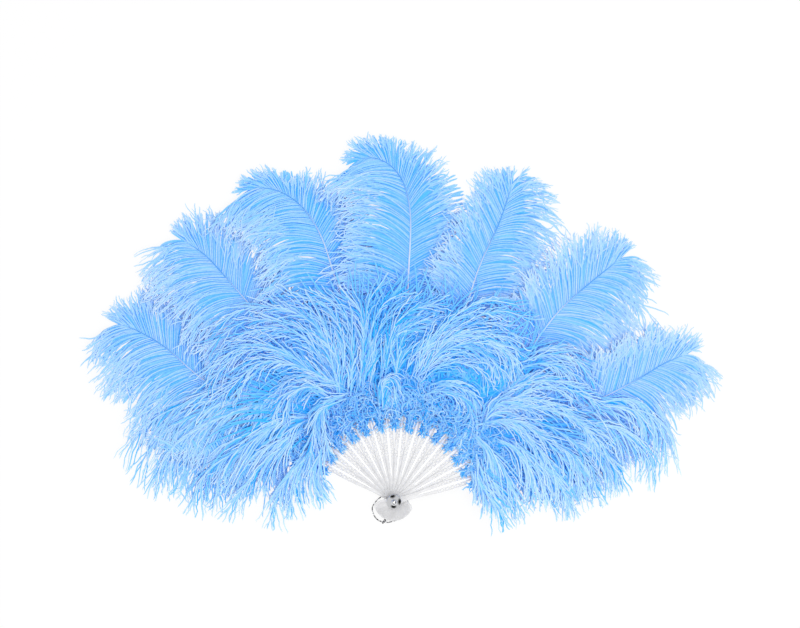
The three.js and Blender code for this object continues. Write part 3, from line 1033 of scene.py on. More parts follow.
@dataclass
class LinkingThread:
    """Thread that runs from tongue to tongue under the ruff."""

    radius: float = 0.45
    at: float = Sticks.thread_at
    slack: float = 2.0
    lift: float = 0.5

    def build(self) -> None:
        """Make and dress the twelve spans."""
        side = math.degrees((Sticks.tongue_half + FAN.seat_gap) / self.at)
        shares = np.linspace(0.0, 1.0, 24)
        radii = self.at - self.slack * np.sin(math.pi * shares)
        yarn = Yarn(self.radius, plies=2, lay_length=2.2, sides=8)
        for stick in range(1, FAN.stick_count):
            node = f"linking_thread_{stick:02d}"
            angles = mix(FAN.angle(stick) - side, FAN.angle(stick + 1) + side, shares)
            heights = mix(FAN.bottom(stick), FAN.bottom(stick + 1), shares) + self.lift
            line = np.array([(*polar(r, a), z) for r, a, z in zip(radii, angles, heights)])
            span = yarn.sweep(f"{node}_spun", line)
            dress(span, THREAD_FINISH, FAN.body(stick), Slot.THREAD, node)


@dataclass
class Rivet:
    """Domed cup washer and ball on the front of the stack; the pin is the frame's own."""

    washer_radius: float = 8.0
    washer_rim: float = 0.8
    washer_chamfer: float = 0.25
    washer_top: float = 2.6
    washer_cone: float = 1.6
    bore: float = 1.6
    ball_radius: float = 3.7
    ball_seat: float = 2.2
    body: str = FAN.body(1)

    def spin(self, name: str, profile: list[Spot], steps: int = 72) -> bpy.types.Object:
        """Turn a profile of radius and height about the rivet's axis.

        Args:
            name: name of the object.
            profile: corners from the axis outwards and round.
            steps: sides of the turned piece.

        Returns:
            The object, smooth and closed.
        """
        mesh = bpy.data.meshes.new(name)
        edges = [(i, i + 1) for i in range(len(profile) - 1)]
        mesh.from_pydata([(r * MM, 0.0, z * MM) for r, z in profile], edges, [])
        piece = link(name, mesh)
        pick(piece)
        bpy.ops.object.mode_set(mode="EDIT")
        bpy.ops.mesh.select_all(action="SELECT")
        bpy.ops.mesh.spin(steps=steps, angle=2 * math.pi, center=(0, 0, 0), axis=(0, 0, 1))
        bpy.ops.mesh.select_all(action="SELECT")
        bpy.ops.mesh.remove_doubles(threshold=0.000002)
        bpy.ops.mesh.normals_make_consistent(inside=False)
        bpy.ops.object.mode_set(mode="OBJECT")
        bpy.ops.object.shade_smooth_by_angle(angle=math.radians(35))
        return piece

    def build_washer(self) -> None:
        """Make and dress the domed washer."""
        low, high = (corner.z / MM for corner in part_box("cup_washer"))
        shoulder = low + self.washer_rim
        chamfer = self.washer_chamfer
        rim = [(self.bore, low), (self.washer_radius - chamfer, low), (self.washer_radius, low + chamfer)]
        dome = [(mix(self.washer_top, self.washer_radius, math.cos(turn)**self.washer_cone),
                 shoulder + (high - shoulder) * math.sin(turn)**self.washer_cone)
                for turn in np.radians(np.linspace(0.0, 90.0, 14))]
        washer = self.spin("cup_washer_domed", [*rim, *dome, (self.bore, high), (self.bore, low)])
        dress(washer, CHROME_FINISH, self.body, Slot.CHROME, "cup_washer")

    def build_ball(self) -> None:
        """Make and dress the ball, hollow below where it sits on the pin."""
        bottom, top = (corner.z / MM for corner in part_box("ball_head"))
        pin_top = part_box("rivet_pin")[1].z / MM + FAN.seat_gap
        centre = top - self.ball_radius
        seat = math.asin(self.ball_seat / self.ball_radius)
        hollow = [(0.0, pin_top), (self.bore, pin_top), (self.bore, bottom)]
        skin = [(self.ball_radius * math.sin(turn), centre - self.ball_radius * math.cos(turn))
                for turn in np.linspace(seat, math.pi, 22)[:-1]]
        ball = self.spin("ball_head_polished", [*hollow, *skin, (0.0, top)])
        dress(ball, CHROME_FINISH, self.body, Slot.CHROME, "ball_head")

    def build(self) -> None:
        """Make the washer and ball, and polish the pin."""
        self.build_washer()
        self.build_ball()
        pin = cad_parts["rivet_pin"]
        pin.data.materials.clear()
        pin.data.materials.append(CHROME_FINISH.material())
        LOG.info("rivet_pin polished")


# Feathers


@dataclass(frozen=True)
class BarbLayer:
    """How one layer of barbs is laid along a shaft."""

    pitch: float
    half_width: float
    reach: float
    depth: float
    tone: float
    crimp: float
    wisps: int = 0
    loose: float = 1.0


@dataclass(frozen=True)
class BarbHabit:
    """How the barbs of one side lie: pairs of a share of the vane's length and the value there.

    Leans and curls are in degrees, and reaches are shares of the vane's width.
    """

    lean: tuple[Spot, ...]
    curl: tuple[Spot, ...]
    reach: tuple[Spot, ...]
    droop: float

    def at(self, share: Array) -> list[Array]:
        """Lean, curl and reach at shares of the vane's length."""
        return [np.interp(share, *zip(*pairs)) for pairs in (self.lean, self.curl, self.reach)]


@dataclass
class BarbRow:
    """Barbs along one side of a shaft: where each leaves it and which way it goes, in degrees and mm."""

    side: int
    share: Array
    roots: Array
    bearing: Array
    lean: Array
    curl: Array
    reach: Array
    droop: Array


# The under layers lie lower and take deep tones: painted shade in the gaps between the upper barbs.
TOP_BARBS = BarbLayer(pitch=2.6, half_width=0.7, reach=1.0, depth=0.0, tone=0.62, crimp=17.0, wisps=3)
UNDER_BARBS = BarbLayer(pitch=1.5, half_width=1.5, reach=0.84, depth=1.8, tone=0.14, crimp=8.0, loose=0.08)
SIDE_UNDER_BARBS = BarbLayer(pitch=1.6, half_width=1.0, reach=0.76, depth=1.8, tone=0.36, crimp=14.0)
HANGING_BARBS = BarbLayer(pitch=2.8, half_width=0.75, reach=1.0, depth=0.0, tone=0.68, crimp=26.0, wisps=2)

PLUME_FALLING = BarbHabit(
    lean=((0.0, 58.0), (0.3, 52.0), (0.6, 46.0), (0.85, 39.0), (1.0, 13.0)),
    curl=((0.0, 10.0), (0.5, 18.0), (1.0, 14.0)),
    reach=((0.0, 1.1), (0.15, 1.42), (0.5, 1.54), (0.8, 1.32), (0.93, 1.0), (1.0, 0.5)),
    droop=0.9)
PLUME_STANDING = BarbHabit(
    lean=((0.0, 58.0), (0.3, 54.0), (0.6, 50.0), (0.85, 43.0), (1.0, 15.0)),
    curl=((0.0, 8.0), (0.5, 10.0), (1.0, 6.0)),
    reach=((0.0, 0.9), (0.15, 1.02), (0.5, 1.06), (0.8, 0.92), (0.93, 0.58), (1.0, 0.3)),
    droop=0.36)
SIDE_HANGING = BarbHabit(
    lean=((0.0, 74.0), (0.3, 62.0), (0.7, 54.0), (1.0, 40.0)),
    curl=((0.0, 8.0), (1.0, 8.0)),
    reach=((0.0, 0.92), (0.25, 1.0), (0.6, 0.86), (0.85, 0.6), (1.0, 0.36)),
    droop=0.7)
SIDE_ARCHING = BarbHabit(
    lean=((0.0, 70.0), (0.4, 64.0), (0.8, 58.0), (1.0, 44.0)),
    curl=((0.0, -112.0), (0.5, -104.0), (1.0, -86.0)),
    reach=((0.0, 0.8), (0.3, 1.0), (0.7, 0.6), (1.0, 0.3)),
    droop=0.2)

# The height that no barb lies below, how far down hanging ends may go and the length of a full lock
LOWEST_STRAND = 1.2
FRINGE_LIMIT = -24.0
FULL_LOCK = 150.0
LOCK_POINTS = 41


@dataclass
class Feather:
    """What plumes and front feathers share: a quill on a stick that runs on as a bending shaft."""

    number: int
    stick: int
    shaft_px: tuple[Spot, ...] = ()
    shaft_end: float = 0.97
    shaft_half: float = 1.35
    shaft_thins: float = 0.8
    fall: Fall = Fall.LEFT
    vane_from: float = 132.0
    # Painted light: a tone shift for the whole feather, paler where more light falls on it and deeper where
    # less.
    paler: float = 0.0
    # Painted shade: how much deeper the barbs near the foot of the vane are toned, and up to what share of
    # its length, where other feathers cover them.
    painted_root_shade: float = 0.0
    painted_shade_to: float = 0.4
    level_spread: float = 0.35
    barb_steps: int = 13
    wisp_steps: int = 8
    fork_at: Spot = (0.3, 0.62)
    wisp_turn: float = 11.0
    wisp_bend: float = 22.0
    wisp_reach: Spot = (0.75, 1.12)
    tufts: int = 13
    tuft_lean: float = 2.6
    tuft_curl: float = 8.0
    tuft_reach: float = 0.08
    stray_lean: float = 1.0
    stray_reach: float = 0.09

    def start_height(self) -> float:
        """Height of the quill."""
        return FAN.quill_height(self.stick)

    def height(self, radius: Array) -> Array:
        """Height of the shaft at distances from the rivet."""
        raise NotImplementedError

    def barb_height(self, row: BarbRow, plan: Array, out: Array) -> Array:
        """Height of strands by strand and point.

        Args:
            row: the barbs that they are or leave.
            plan: their points in the plane.
            out: shares of the barb's length at the points.

        Returns:
            The heights.
        """
        raise NotImplementedError

    def row(self, side: int, layer: BarbLayer, rng: np.random.Generator) -> BarbRow:
        """Lay out the barbs of one side.

        Args:
            side: 1 for the left of the shaft and -1 for the right.
            layer: how they are laid.
            rng: the source of chance.

        Returns:
            The row.
        """
        raise NotImplementedError

    def line(self, count: int) -> Array:
        """Points along the shaft in the plane, from the quill to the feather's tip."""
        base = FAN.angle(self.stick)
        on_tongue = [FAN.quill_start, mix(FAN.quill_start, FAN.tongue_end, 0.6), FAN.tongue_end]
        places = [polar(r, base) for r in on_tongue] + [from_photo(spot) for spot in self.shaft_px]
        return smooth_line(np.array(places), count)

    def rooted(self, pitch: float, rng: np.random.Generator) -> tuple[Array, Array, Array]:
        """Set roots along the shaft.

        Args:
            pitch: distance from one to the next.
            rng: the source of chance.

        Returns:
            Shares of the vane's length, places in the plane and the shaft's bearing there.
        """
        line = self.line(400)
        along = np.linspace(0.0, length_of(line), len(line))
        first = np.interp(self.vane_from, np.linalg.norm(line, axis=1), along)
        last = along[-1] * self.shaft_end
        at = np.arange(first, last, pitch)
        at = at + rng.normal(0.0, 0.12 * pitch, len(at))
        ahead = np.gradient(line, axis=0)
        bearing = np.interp(at, along, np.unwrap(np.arctan2(ahead[:, 1], ahead[:, 0])))
        roots = np.stack([np.interp(at, along, column) for column in line.T], axis=1)
        return ((at - first) / (last - first)).clip(0.0, 1.0), roots, bearing

    def vanes(self, layers: tuple[BarbLayer, ...], bundle: StrandBundle, rng: np.random.Generator) -> None:
        """Lay barbs on both sides of the shaft.

        Args:
            layers: the layers of each side, the lowest first.
            bundle: where they go.
            rng: the source of chance.
        """
        for side in (1, -1):
            for layer in layers:
                self.comb(self.row(side, layer, rng), layer, bundle, rng)

    def comb(self, row: BarbRow, layer: BarbLayer, bundle: StrandBundle, rng: np.random.Generator) -> None:
        """Grow a row of barbs, and the wisps that leave them where the vane opens.

        Args:
            row: the barbs.
            layer: how they are laid.
            bundle: where they go.
            rng: the source of chance.
        """
        count, steps = len(row.share), self.barb_steps
        turns = row.side * np.radians(row.curl)
        reach = row.reach * layer.reach
        headings = row.bearing + row.side * np.radians(row.lean)
        kinks = crimps(count, steps, layer.crimp, 2.0, rng)
        plan = grow(row.roots, headings, reach, turns, row.droop, kinks)
        level = rng.normal(0.0, self.level_spread, count)
        # Painted light and shade: the feather's painted light shift (paler), deeper tones for barbs that lie
        # lower and paler tones for those that lie higher.
        tones = layer.tone + self.paler + 0.2 * level + rng.normal(0.0, 0.1, count)
        # Painted shade: deeper tones near the foot of the vane.
        tones -= self.painted_root_shade * (1.0 - ease(row.share / self.painted_shade_to))
        self.lay(row, plan, stations(steps), layer, level, tones, bundle, rng)
        which = np.arange(count)
        for _ in range(layer.wisps):
            fork = rng.integers(round(self.fork_at[0] * steps), round(self.fork_at[1] * steps), count)
            forked = stations(steps)[fork]
            left = 1.0 - forked
            step = plan[which, fork + 1] - plan[which, fork]
            away = np.arctan2(step[:, 1], step[:, 0]) + np.radians(rng.normal(0.0, self.wisp_turn, count))
            bend = turns * left + np.radians(rng.normal(0.0, self.wisp_bend, count))
            lengths = reach * left * rng.uniform(*self.wisp_reach, count)
            kinks = crimps(count, self.wisp_steps, 1.3 * layer.crimp, 0.8, rng)
            wisps = grow(plan[which, fork], away, lengths, bend, row.droop * left, kinks)
            out = mix(forked[:, None], 1.0, stations(self.wisp_steps)[None, :])
            # Wisps lie a little higher and take slightly paler tones: the same painted light.
            higher = level + rng.normal(0.2, 0.5, count)
            self.lay(row, wisps, out, layer, higher, tones + rng.normal(0.05, 0.12, count), bundle, rng)

    def lay(self, row: BarbRow, plan: Array, out: Array, layer: BarbLayer, level: Array, tones: Array,
            bundle: StrandBundle, rng: np.random.Generator) -> None:
        """Give strands their heights and add them.

        Args:
            row: the barbs that they are or leave.
            plan: points by strand and step, in the plane.
            out: shares of the barb's length at the points.
            layer: how the barbs are laid.
            level: how far each lies above its layer.
            tones: their tones.
            bundle: where they go.
            rng: the source of chance.
        """
        count, rings, _ = plan.shape
        height = self.barb_height(row, plan, np.atleast_2d(out)) - layer.depth + level[:, None]
        paths = lifted(plan, np.maximum(height, LOWEST_STRAND))
        widths = tapered(count, rings, layer.half_width, 0.2, rng)
        bundle.add(paths, widths, np.clip(tones, 0.0, 1.0), leaning(count, 0.2, rng))

    def shaft_radius(self, along: Array) -> Array:
        """Half the width of the shaft at shares of its length."""
        return self.shaft_half * (1 - self.shaft_thins * along**1.4)

    def build_shaft(self, name: str, lift: float) -> bpy.types.Object:
        """Make the tapering shaft as one round strand.

        Args:
            name: name of the object.
            lift: how far it lies above the middle of the vane.

        Returns:
            The object.
        """
        whole = self.line(120)
        plan = whole[: int(len(whole) * self.shaft_end)][::3]
        radii = np.linalg.norm(plan, axis=1)
        height = self.height(radii) + lift * ease((radii - FAN.tongue_end) / 30.0)
        along = np.linspace(0.0, 1.0, len(plan))
        shaft = StrandBundle(flatness=1.1)
        shaft.add(lifted(plan[None], height), self.shaft_radius(along)[None], np.array([0.5]), UP[None])
        return shaft.build(name)


@dataclass
class Plume(Feather):
    """Tall plume: parallel barbs that stand together near the shaft and part into wisps at the edge.

    Three factors each, at the shoulder, head and tip, make the falling and the standing side fuller.
    """

    half_width: float = 57.0
    settled_height: float = 9.2
    level_to: float = 151.0
    settled_at: float = 225.0
    rise: float = 9.0
    rise_angle: float = 20.0
    tip_sink: float = 1.2
    # Painted shade near the foot of the plume, under the front feathers.
    painted_root_shade: float = 0.45
    falling: tuple[float, float, float] = (1.0, 1.0, 1.0)
    standing: tuple[float, float, float] = (1.0, 1.0, 1.0)
    fuller_at: tuple[float, float, float, float] = (0.45, 0.65, 0.82, 1.0)
    tip_from: float = 0.92
    tip_lean: float = 7.0
    shaft_lift: float = 1.6
    shade_line_half: Spot = (0.55, 0.25)
    shade_line_aside: float = 0.25
    shade_line_lift: float = 0.5

    def height(self, radius: Array) -> Array:
        """Height of the shaft at distances from the rivet."""
        settled = ease((radius - self.level_to) / (self.settled_at - self.level_to))
        return mix(self.start_height(), self.settled_height, settled)

    def barb_height(self, row: BarbRow, plan: Array, out: Array) -> Array:
        """Height of strands: they follow the fan's shingling, so the right side lies over the next plume."""
        rise = self.rise * turn_between(row.roots, plan) / math.radians(self.rise_angle)
        return self.height(np.linalg.norm(row.roots, axis=1))[:, None] + rise - self.tip_sink * out**2

    def row(self, side: int, layer: BarbLayer, rng: np.random.Generator) -> BarbRow:
        """Lay out the barbs of one side: they lie in tufts, which differ less in a closed layer.

        Args:
            side: 1 for the left of the shaft and -1 for the right.
            layer: how they are laid.
            rng: the source of chance.

        Returns:
            The row.
        """
        share, roots, bearing = self.rooted(layer.pitch, rng)
        count = len(share)
        tuft = share * self.tufts + rng.uniform(0.0, 1.0) + rng.uniform(-0.15, 0.15, count)
        tuft = np.floor(tuft).astype(int)
        falls = side == self.fall.value
        habit = PLUME_FALLING if falls else PLUME_STANDING
        fuller = self.falling if falls else self.standing
        lean, curl, reach = habit.at(share)
        reach *= np.interp(share, self.fuller_at, (1.0, *fuller))
        near_tip = np.clip((share - self.tip_from) / (1.0 - self.tip_from), 0.0, 1.0)
        lean += rng.normal(0.0, self.stray_lean, count) + layer.loose * by_group(tuft, self.tuft_lean, rng)
        lean += rng.normal(0.0, self.tip_lean, count) * near_tip
        curl += layer.loose * by_group(tuft, self.tuft_curl, rng)
        differing = by_group(tuft, self.tuft_reach, rng) + rng.normal(0.0, self.stray_reach, count)
        reach *= self.half_width * (1.0 + differing)
        return BarbRow(side, share, roots, bearing, lean, curl, reach, np.full(count, habit.droop))

    def groove(self, bundle: StrandBundle) -> None:
        """Lay the deepest-toned strands at the vane's edge along both sides of the shaft: painted shadow
        beside the shaft.

        Args:
            bundle: where it goes.
        """
        line = self.line(90)
        line = line[np.linalg.norm(line, axis=1) > self.vane_from]
        line = line[: int(len(line) * self.shaft_end)]
        ahead = unit(np.gradient(line, axis=0))
        across = np.column_stack([-ahead[:, 1], ahead[:, 0]])
        along = np.linspace(0.0, 1.0, len(line))
        height = self.height(np.linalg.norm(line, axis=1)) + self.shade_line_lift
        aside = self.shaft_radius(mix(0.25, 1.0, along)) + self.shade_line_aside
        for side in (1, -1):
            edge = line + across * (side * aside)[:, None]
            # Tone 0, the deepest: painted shadow beside the shaft.
            bundle.add(lifted(edge[None], height), mix(*self.shade_line_half, along)[None], np.zeros(1), UP[None])

    def build(self) -> None:
        """Make the vane and the shaft, and dress them."""
        bundle = StrandBundle()
        self.vanes((UNDER_BARBS, TOP_BARBS), bundle, np.random.default_rng(100 + self.number))
        # Painted shadow along both sides of the shaft.
        self.groove(bundle)
        node, body = f"plume_{self.number}", FAN.body(self.stick)
        vane = bundle.build(f"{node}_barbs")
        dress(vane, PLUME_FINISH, body, Slot.PLUME, node)
        gather_when_folded(vane)
        shaft = self.build_shaft(f"{node}_shaft", self.shaft_lift)
        dress(shaft, SHAFT_FINISH, body, Slot.PLUME)
        gather_when_folded(shaft)


@dataclass
class FrontFeather(Feather):
    """Shorter feather that breaks into locks, which arch over and fall like a fountain."""

    locks_px: tuple[tuple[Spot, ...], ...] = ()
    copies: int = 4
    copy_scale: Spot = (0.68, 1.06)
    copy_turn: float = 5.0
    copy_shift: float = 4.0
    copy_bend: float = 10.0
    copy_lower: float = 1.5
    branches: int = 40
    branch_rings: int = 10
    branch_until: float = 0.93
    branch_past_end: float = 0.05
    branch_run: Spot = (16.0, 38.0)
    branch_angle: Spot = (0.1, 0.46)
    branch_wave: Spot = (0.3, 1.4)
    branch_half: float = 0.58
    branch_level: float = 1.3
    branch_sink: float = 2.0
    wave_length: Spot = (9.0, 17.0)
    tone: float = 0.62
    weep: float = 0.0
    weep_room: float = 70.0
    crest: Spot = (39.0, 29.0)
    crest_radius: Spot = (100.0, 260.0)
    crest_spread: float = 1.6
    crest_at: float = 0.35
    root_drop: float = 6.0
    tip_drop: float = 9.0
    stem_half: float = 0.75
    stem_from: Spot = (112.0, 122.0)
    stem_sag: float = 3.0
    thatch: int = 320
    thatch_fan: float = 56.0
    thatch_root_fan: float = 6.0
    thatch_roots: Spot = (104.0, 140.0)
    thatch_length: Spot = (50.0, 140.0)
    thatch_depth: Spot = (14.0, 5.0)
    thatch_half: float = 0.95

    def start_height(self) -> float:
        """Height of the quill."""
        return FAN.front_quill_height(self.stick)

    def guides(self, rng: np.random.Generator) -> list[Array]:
        """Lay the lines that the locks follow: each one seen in the photograph, and others like it.

        Args:
            rng: the source of chance.

        Returns:
            Points of each lock in space.
        """
        found = []
        for lock in self.locks_px:
            seen = np.array([from_photo(spot) for spot in lock])
            found.append(self.arched(smooth_line(seen, LOCK_POINTS), 0.0, rng))
            for _ in range(self.copies):
                found.append(self.arched(self.another(seen, rng), self.copy_lower, rng))
        return found

    def another(self, seen: Array, rng: np.random.Generator) -> Array:
        """Scale, turn, shift and bend a lock by chance.

        Args:
            seen: places in the plane that the lock passes.
            rng: the source of chance.

        Returns:
            Points of the new lock in the plane.
        """
        scaled = (seen - seen[0]) * rng.uniform(*self.copy_scale)
        turn = math.radians(rng.normal(0.0, self.copy_turn))
        shift = rng.normal(0.0, self.copy_shift, 2)
        plan = smooth_line(turned(scaled, turn) + seen[0] + shift, LOCK_POINTS)
        return plan[0] + bent(plan - plan[0], math.radians(rng.normal(0.0, self.copy_bend)))

    def arched(self, plan: Array, lower: float, rng: np.random.Generator) -> Array:
        """Raise a lock over the quills so that it arches and falls.

        Args:
            plan: its points in the plane.
            lower: how far it lies below the locks that are seen.
            rng: the source of chance.

        Returns:
            Its points in space.
        """
        out = np.linspace(0.0, 1.0, len(plan))
        middle = np.linalg.norm(plan, axis=1).mean()
        top = np.interp(middle, self.crest_radius, self.crest) + rng.normal(0.0, self.crest_spread) - lower
        risen = mix(top - self.root_drop, top, ease(out / self.crest_at))
        fallen = ease((out - self.crest_at) / (1.0 - self.crest_at))
        return np.column_stack([plan, mix(risen, top - self.tip_drop, fallen)])

    def stems(self, guides: list[Array], bundle: StrandBundle, rng: np.random.Generator) -> None:
        """Bring each lock up from the quill and run its own stem to its tip.

        Args:
            guides: points of each lock.
            bundle: where the stems go.
            rng: the source of chance.
        """
        paths = []
        for guide in guides:
            quill = polar(rng.uniform(*self.stem_from), FAN.angle(self.stick) + rng.normal(0.0, 0.6))
            low = np.array([*quill, self.start_height()])
            rising = mix(low, guide[0], 0.5) - self.stem_sag * UP
            picked = guide[np.linspace(0, len(guide) - 1, 12).astype(int)]
            paths.append(np.vstack([low, rising, picked]))
        count, rings = len(paths), len(paths[0])
        widths = tapered(count, rings, self.stem_half, 0.1, rng)
        bundle.add(np.array(paths), widths, rng.uniform(0.5, 0.8, count), leaning(count, 0.1, rng))

    def branch(self, guide: Array, bundle: StrandBundle, rng: np.random.Generator) -> None:
        """Set crimped branches along a lock, on both sides of its stem.

        Args:
            guide: points of the lock.
            bundle: where the branches go.
            rng: the source of chance.
        """
        rings, length = self.branch_rings, length_of(guide)
        out = stations(rings - 1)[None, :]
        count = round(self.branches * min(1.0, length / FULL_LOCK))
        start = (np.arange(count) + rng.uniform(0.0, 1.0, count)) / count * self.branch_until
        run = rng.uniform(*self.branch_run, count) / length
        run = np.minimum(run, 1.0 - start + self.branch_past_end)
        share = start[:, None] + run[:, None] * out
        along = np.minimum(share, 1.0) * (len(guide) - 1)
        beyond = np.maximum(share - 1.0, 0.0) * length
        ahead = np.gradient(guide, axis=0)
        across = unit(np.column_stack([-ahead[:, 1], ahead[:, 0]]))
        plan = np.stack([read(column, along) for column in guide.T], axis=2)
        normal = np.stack([read(column, along) for column in across.T], axis=2)
        plan[..., :2] += normal * self.opened(run * length, out, rng)[..., None]
        plan[..., :2] += beyond[..., None] * unit(ahead[-1:, :2])
        room = np.clip((plan[:, -1, 1] - FRINGE_LIMIT) / self.weep_room, 0.0, 1.0)
        plan[..., 1] -= (self.weep * room * rng.uniform(0.5, 1.3, count))[:, None] * out**2
        level = rng.normal(0.0, self.branch_level, count)
        plan[..., 2] += level[:, None] - self.branch_sink * out**2
        # Painted shade: branches that lie lower take deeper tones, those that lie higher paler ones.
        tones = np.clip(self.tone + 0.24 * level + rng.normal(0.0, 0.22, count), 0.0, 1.0)
        widths = tapered(count, rings, self.branch_half, 0.2, rng)
        bundle.add(plan, widths, tones, leaning(count, 0.2, rng))

    def opened(self, lengths: Array, out: Array, rng: np.random.Generator) -> Array:
        """How far waving branches stand off their stem.

        Args:
            lengths: length of each branch.
            out: shares of a branch's length at its points.
            rng: the source of chance.

        Returns:
            Distances by branch and point, to the left of the stem.
        """
        count, column = len(lengths), (len(lengths), 1)
        side = np.where(np.arange(count) % 2, 1.0, -1.0)
        straight = (side * rng.uniform(*self.branch_angle, count) * lengths)[:, None] * out**1.2
        travelled = lengths[:, None] * out / rng.uniform(*self.wave_length, column)
        wave = np.sin(2 * math.pi * (travelled + rng.uniform(0.0, 1.0, column))) * out**0.7
        wave = wave * rng.uniform(*self.branch_wave, column)
        return straight + wave + rng.normal(0.0, 0.25, wave.shape) * out

    def underlay(self, bundle: StrandBundle, rng: np.random.Generator) -> None:
        """Lay deep-toned strands under the locks, fanned out from the quill's end: painted shade under the
        locks.

        Args:
            bundle: where they go.
            rng: the source of chance.
        """
        count, steps = self.thatch, 8
        base = FAN.angle(self.stick)
        outward = rng.uniform(-1.0, 1.0, count)
        radii = rng.uniform(*self.thatch_roots, count)
        roots = np.array([polar(r, base + a) for r, a in zip(radii, self.thatch_root_fan * outward)])
        headings = np.radians(base + self.thatch_fan * outward + rng.normal(0.0, 8.0, count))
        lengths = rng.uniform(*self.thatch_length, count)
        turns = 0.9 * outward + rng.normal(0.0, 0.3, count)
        kinks = crimps(count, steps, 10.0, 1.0, rng)
        plan = grow(roots, headings, lengths, turns, np.full(count, 0.3), kinks)
        lowest, highest = (self.crest[1] - depth for depth in self.thatch_depth)
        top = rng.uniform(lowest, highest, (count, 1))
        height = mix(self.start_height() + 1.0, top, ease(stations(steps)[None, :] / 0.5))
        widths = tapered(count, steps + 1, self.thatch_half, 0.25, rng)
        # Painted shade: the strands under the locks take the deepest tones.
        bundle.add(lifted(plan, height), widths, rng.uniform(0.0, 0.14, count), leaning(count, 0.2, rng))

    def build(self) -> None:
        """Make the locks over what lies under them, and dress them."""
        rng = np.random.default_rng(200 + self.number)
        bundle = StrandBundle()
        self.underlay(bundle, rng)
        guides = self.guides(rng)
        self.stems(guides, bundle, rng)
        for guide in guides:
            self.branch(guide, bundle, rng)
        node = f"front_feather_{self.number}"
        piece = bundle.build(f"{node}_locks")
        dress(piece, FRONT_FINISH, FAN.body(self.stick), Slot.FRONT, node)
        gather_when_folded(piece)


@dataclass
class SideFeather(FrontFeather):
    """Front feather beside a guard: its shaft lies low and long barbs arch over it and hang from it."""

    hang: float = 68.0
    arch: float = 84.0
    arch_rise: float = 3.0
    hang_to: float = 8.0
    crest: Spot = (29.0, 19.0)
    shaft_end: float = 0.8
    shaft_under: float = 7.0
    risen_over: float = 26.0
    droop_from: float = 152.0
    droop_over: float = 146.0
    tip_height: float = 14.0
    copies: int = 3
    copy_scale: Spot = (0.58, 0.94)
    branch_run: Spot = (22.0, 58.0)
    branch_angle: Spot = (0.08, 0.42)
    weep: float = 18.0
    branches: int = 32
    branch_half: float = 0.75
    tone: float = 0.7
    vane_from: float = 118.0
    tufts: int = 16
    tuft_lean: float = 4.0
    tuft_reach: float = 0.1
    stray_lean: float = 2.5
    stray_curl: float = 4.0
    stray_reach: float = 0.16
    shorter: float = 0.06

    def height(self, radius: Array) -> Array:
        """Height of the shaft at distances from the rivet."""
        risen = ease((radius - FAN.tongue_end) / self.risen_over)
        drooped = ease((radius - self.droop_from) / self.droop_over)
        lain = mix(self.start_height(), self.crest[1] - self.shaft_under, risen)
        return mix(lain, self.tip_height, drooped)

    def barb_height(self, row: BarbRow, plan: Array, out: Array) -> Array:
        """Height of strands: those above the shaft arch over it, and all settle near the table."""
        base = self.height(np.linalg.norm(row.roots, axis=1))[:, None]
        over = 0.0 if row.side == self.fall.value else self.arch_rise * (1.0 + np.sin(math.pi * out))
        return mix(base, np.minimum(base, self.hang_to), ease(out)) + over

    def row(self, side: int, layer: BarbLayer, rng: np.random.Generator) -> BarbRow:
        """Lay out the barbs of one side: they hang in tufts on the one, and arch over on the other.

        Args:
            side: 1 for the left of the shaft and -1 for the right.
            layer: how they are laid.
            rng: the source of chance.

        Returns:
            The row.
        """
        share, roots, bearing = self.rooted(layer.pitch, rng)
        count = len(share)
        tuft = np.floor(share * self.tufts + rng.uniform(-0.2, 0.2, count) + 1.0).astype(int)
        falls = side == self.fall.value
        habit = SIDE_HANGING if falls else SIDE_ARCHING
        lean, curl, reach = habit.at(share)
        lean += by_group(tuft, self.tuft_lean, rng) + rng.normal(0.0, self.stray_lean, count)
        curl += by_group(tuft, self.tuft_curl, rng) + rng.normal(0.0, self.stray_curl, count)
        differing = by_group(tuft, self.tuft_reach, rng) + rng.normal(-self.shorter, self.stray_reach, count)
        reach *= (self.hang if falls else self.arch) * (1.0 + differing)
        return BarbRow(side, share, roots, bearing, lean, curl, reach, np.full(count, habit.droop))

    def underlay(self, bundle: StrandBundle, rng: np.random.Generator) -> None:
        """Lay the feather's own barbs under the locks.

        Args:
            bundle: where they go.
            rng: the source of chance.
        """
        self.vanes((SIDE_UNDER_BARBS, HANGING_BARBS), bundle, rng)


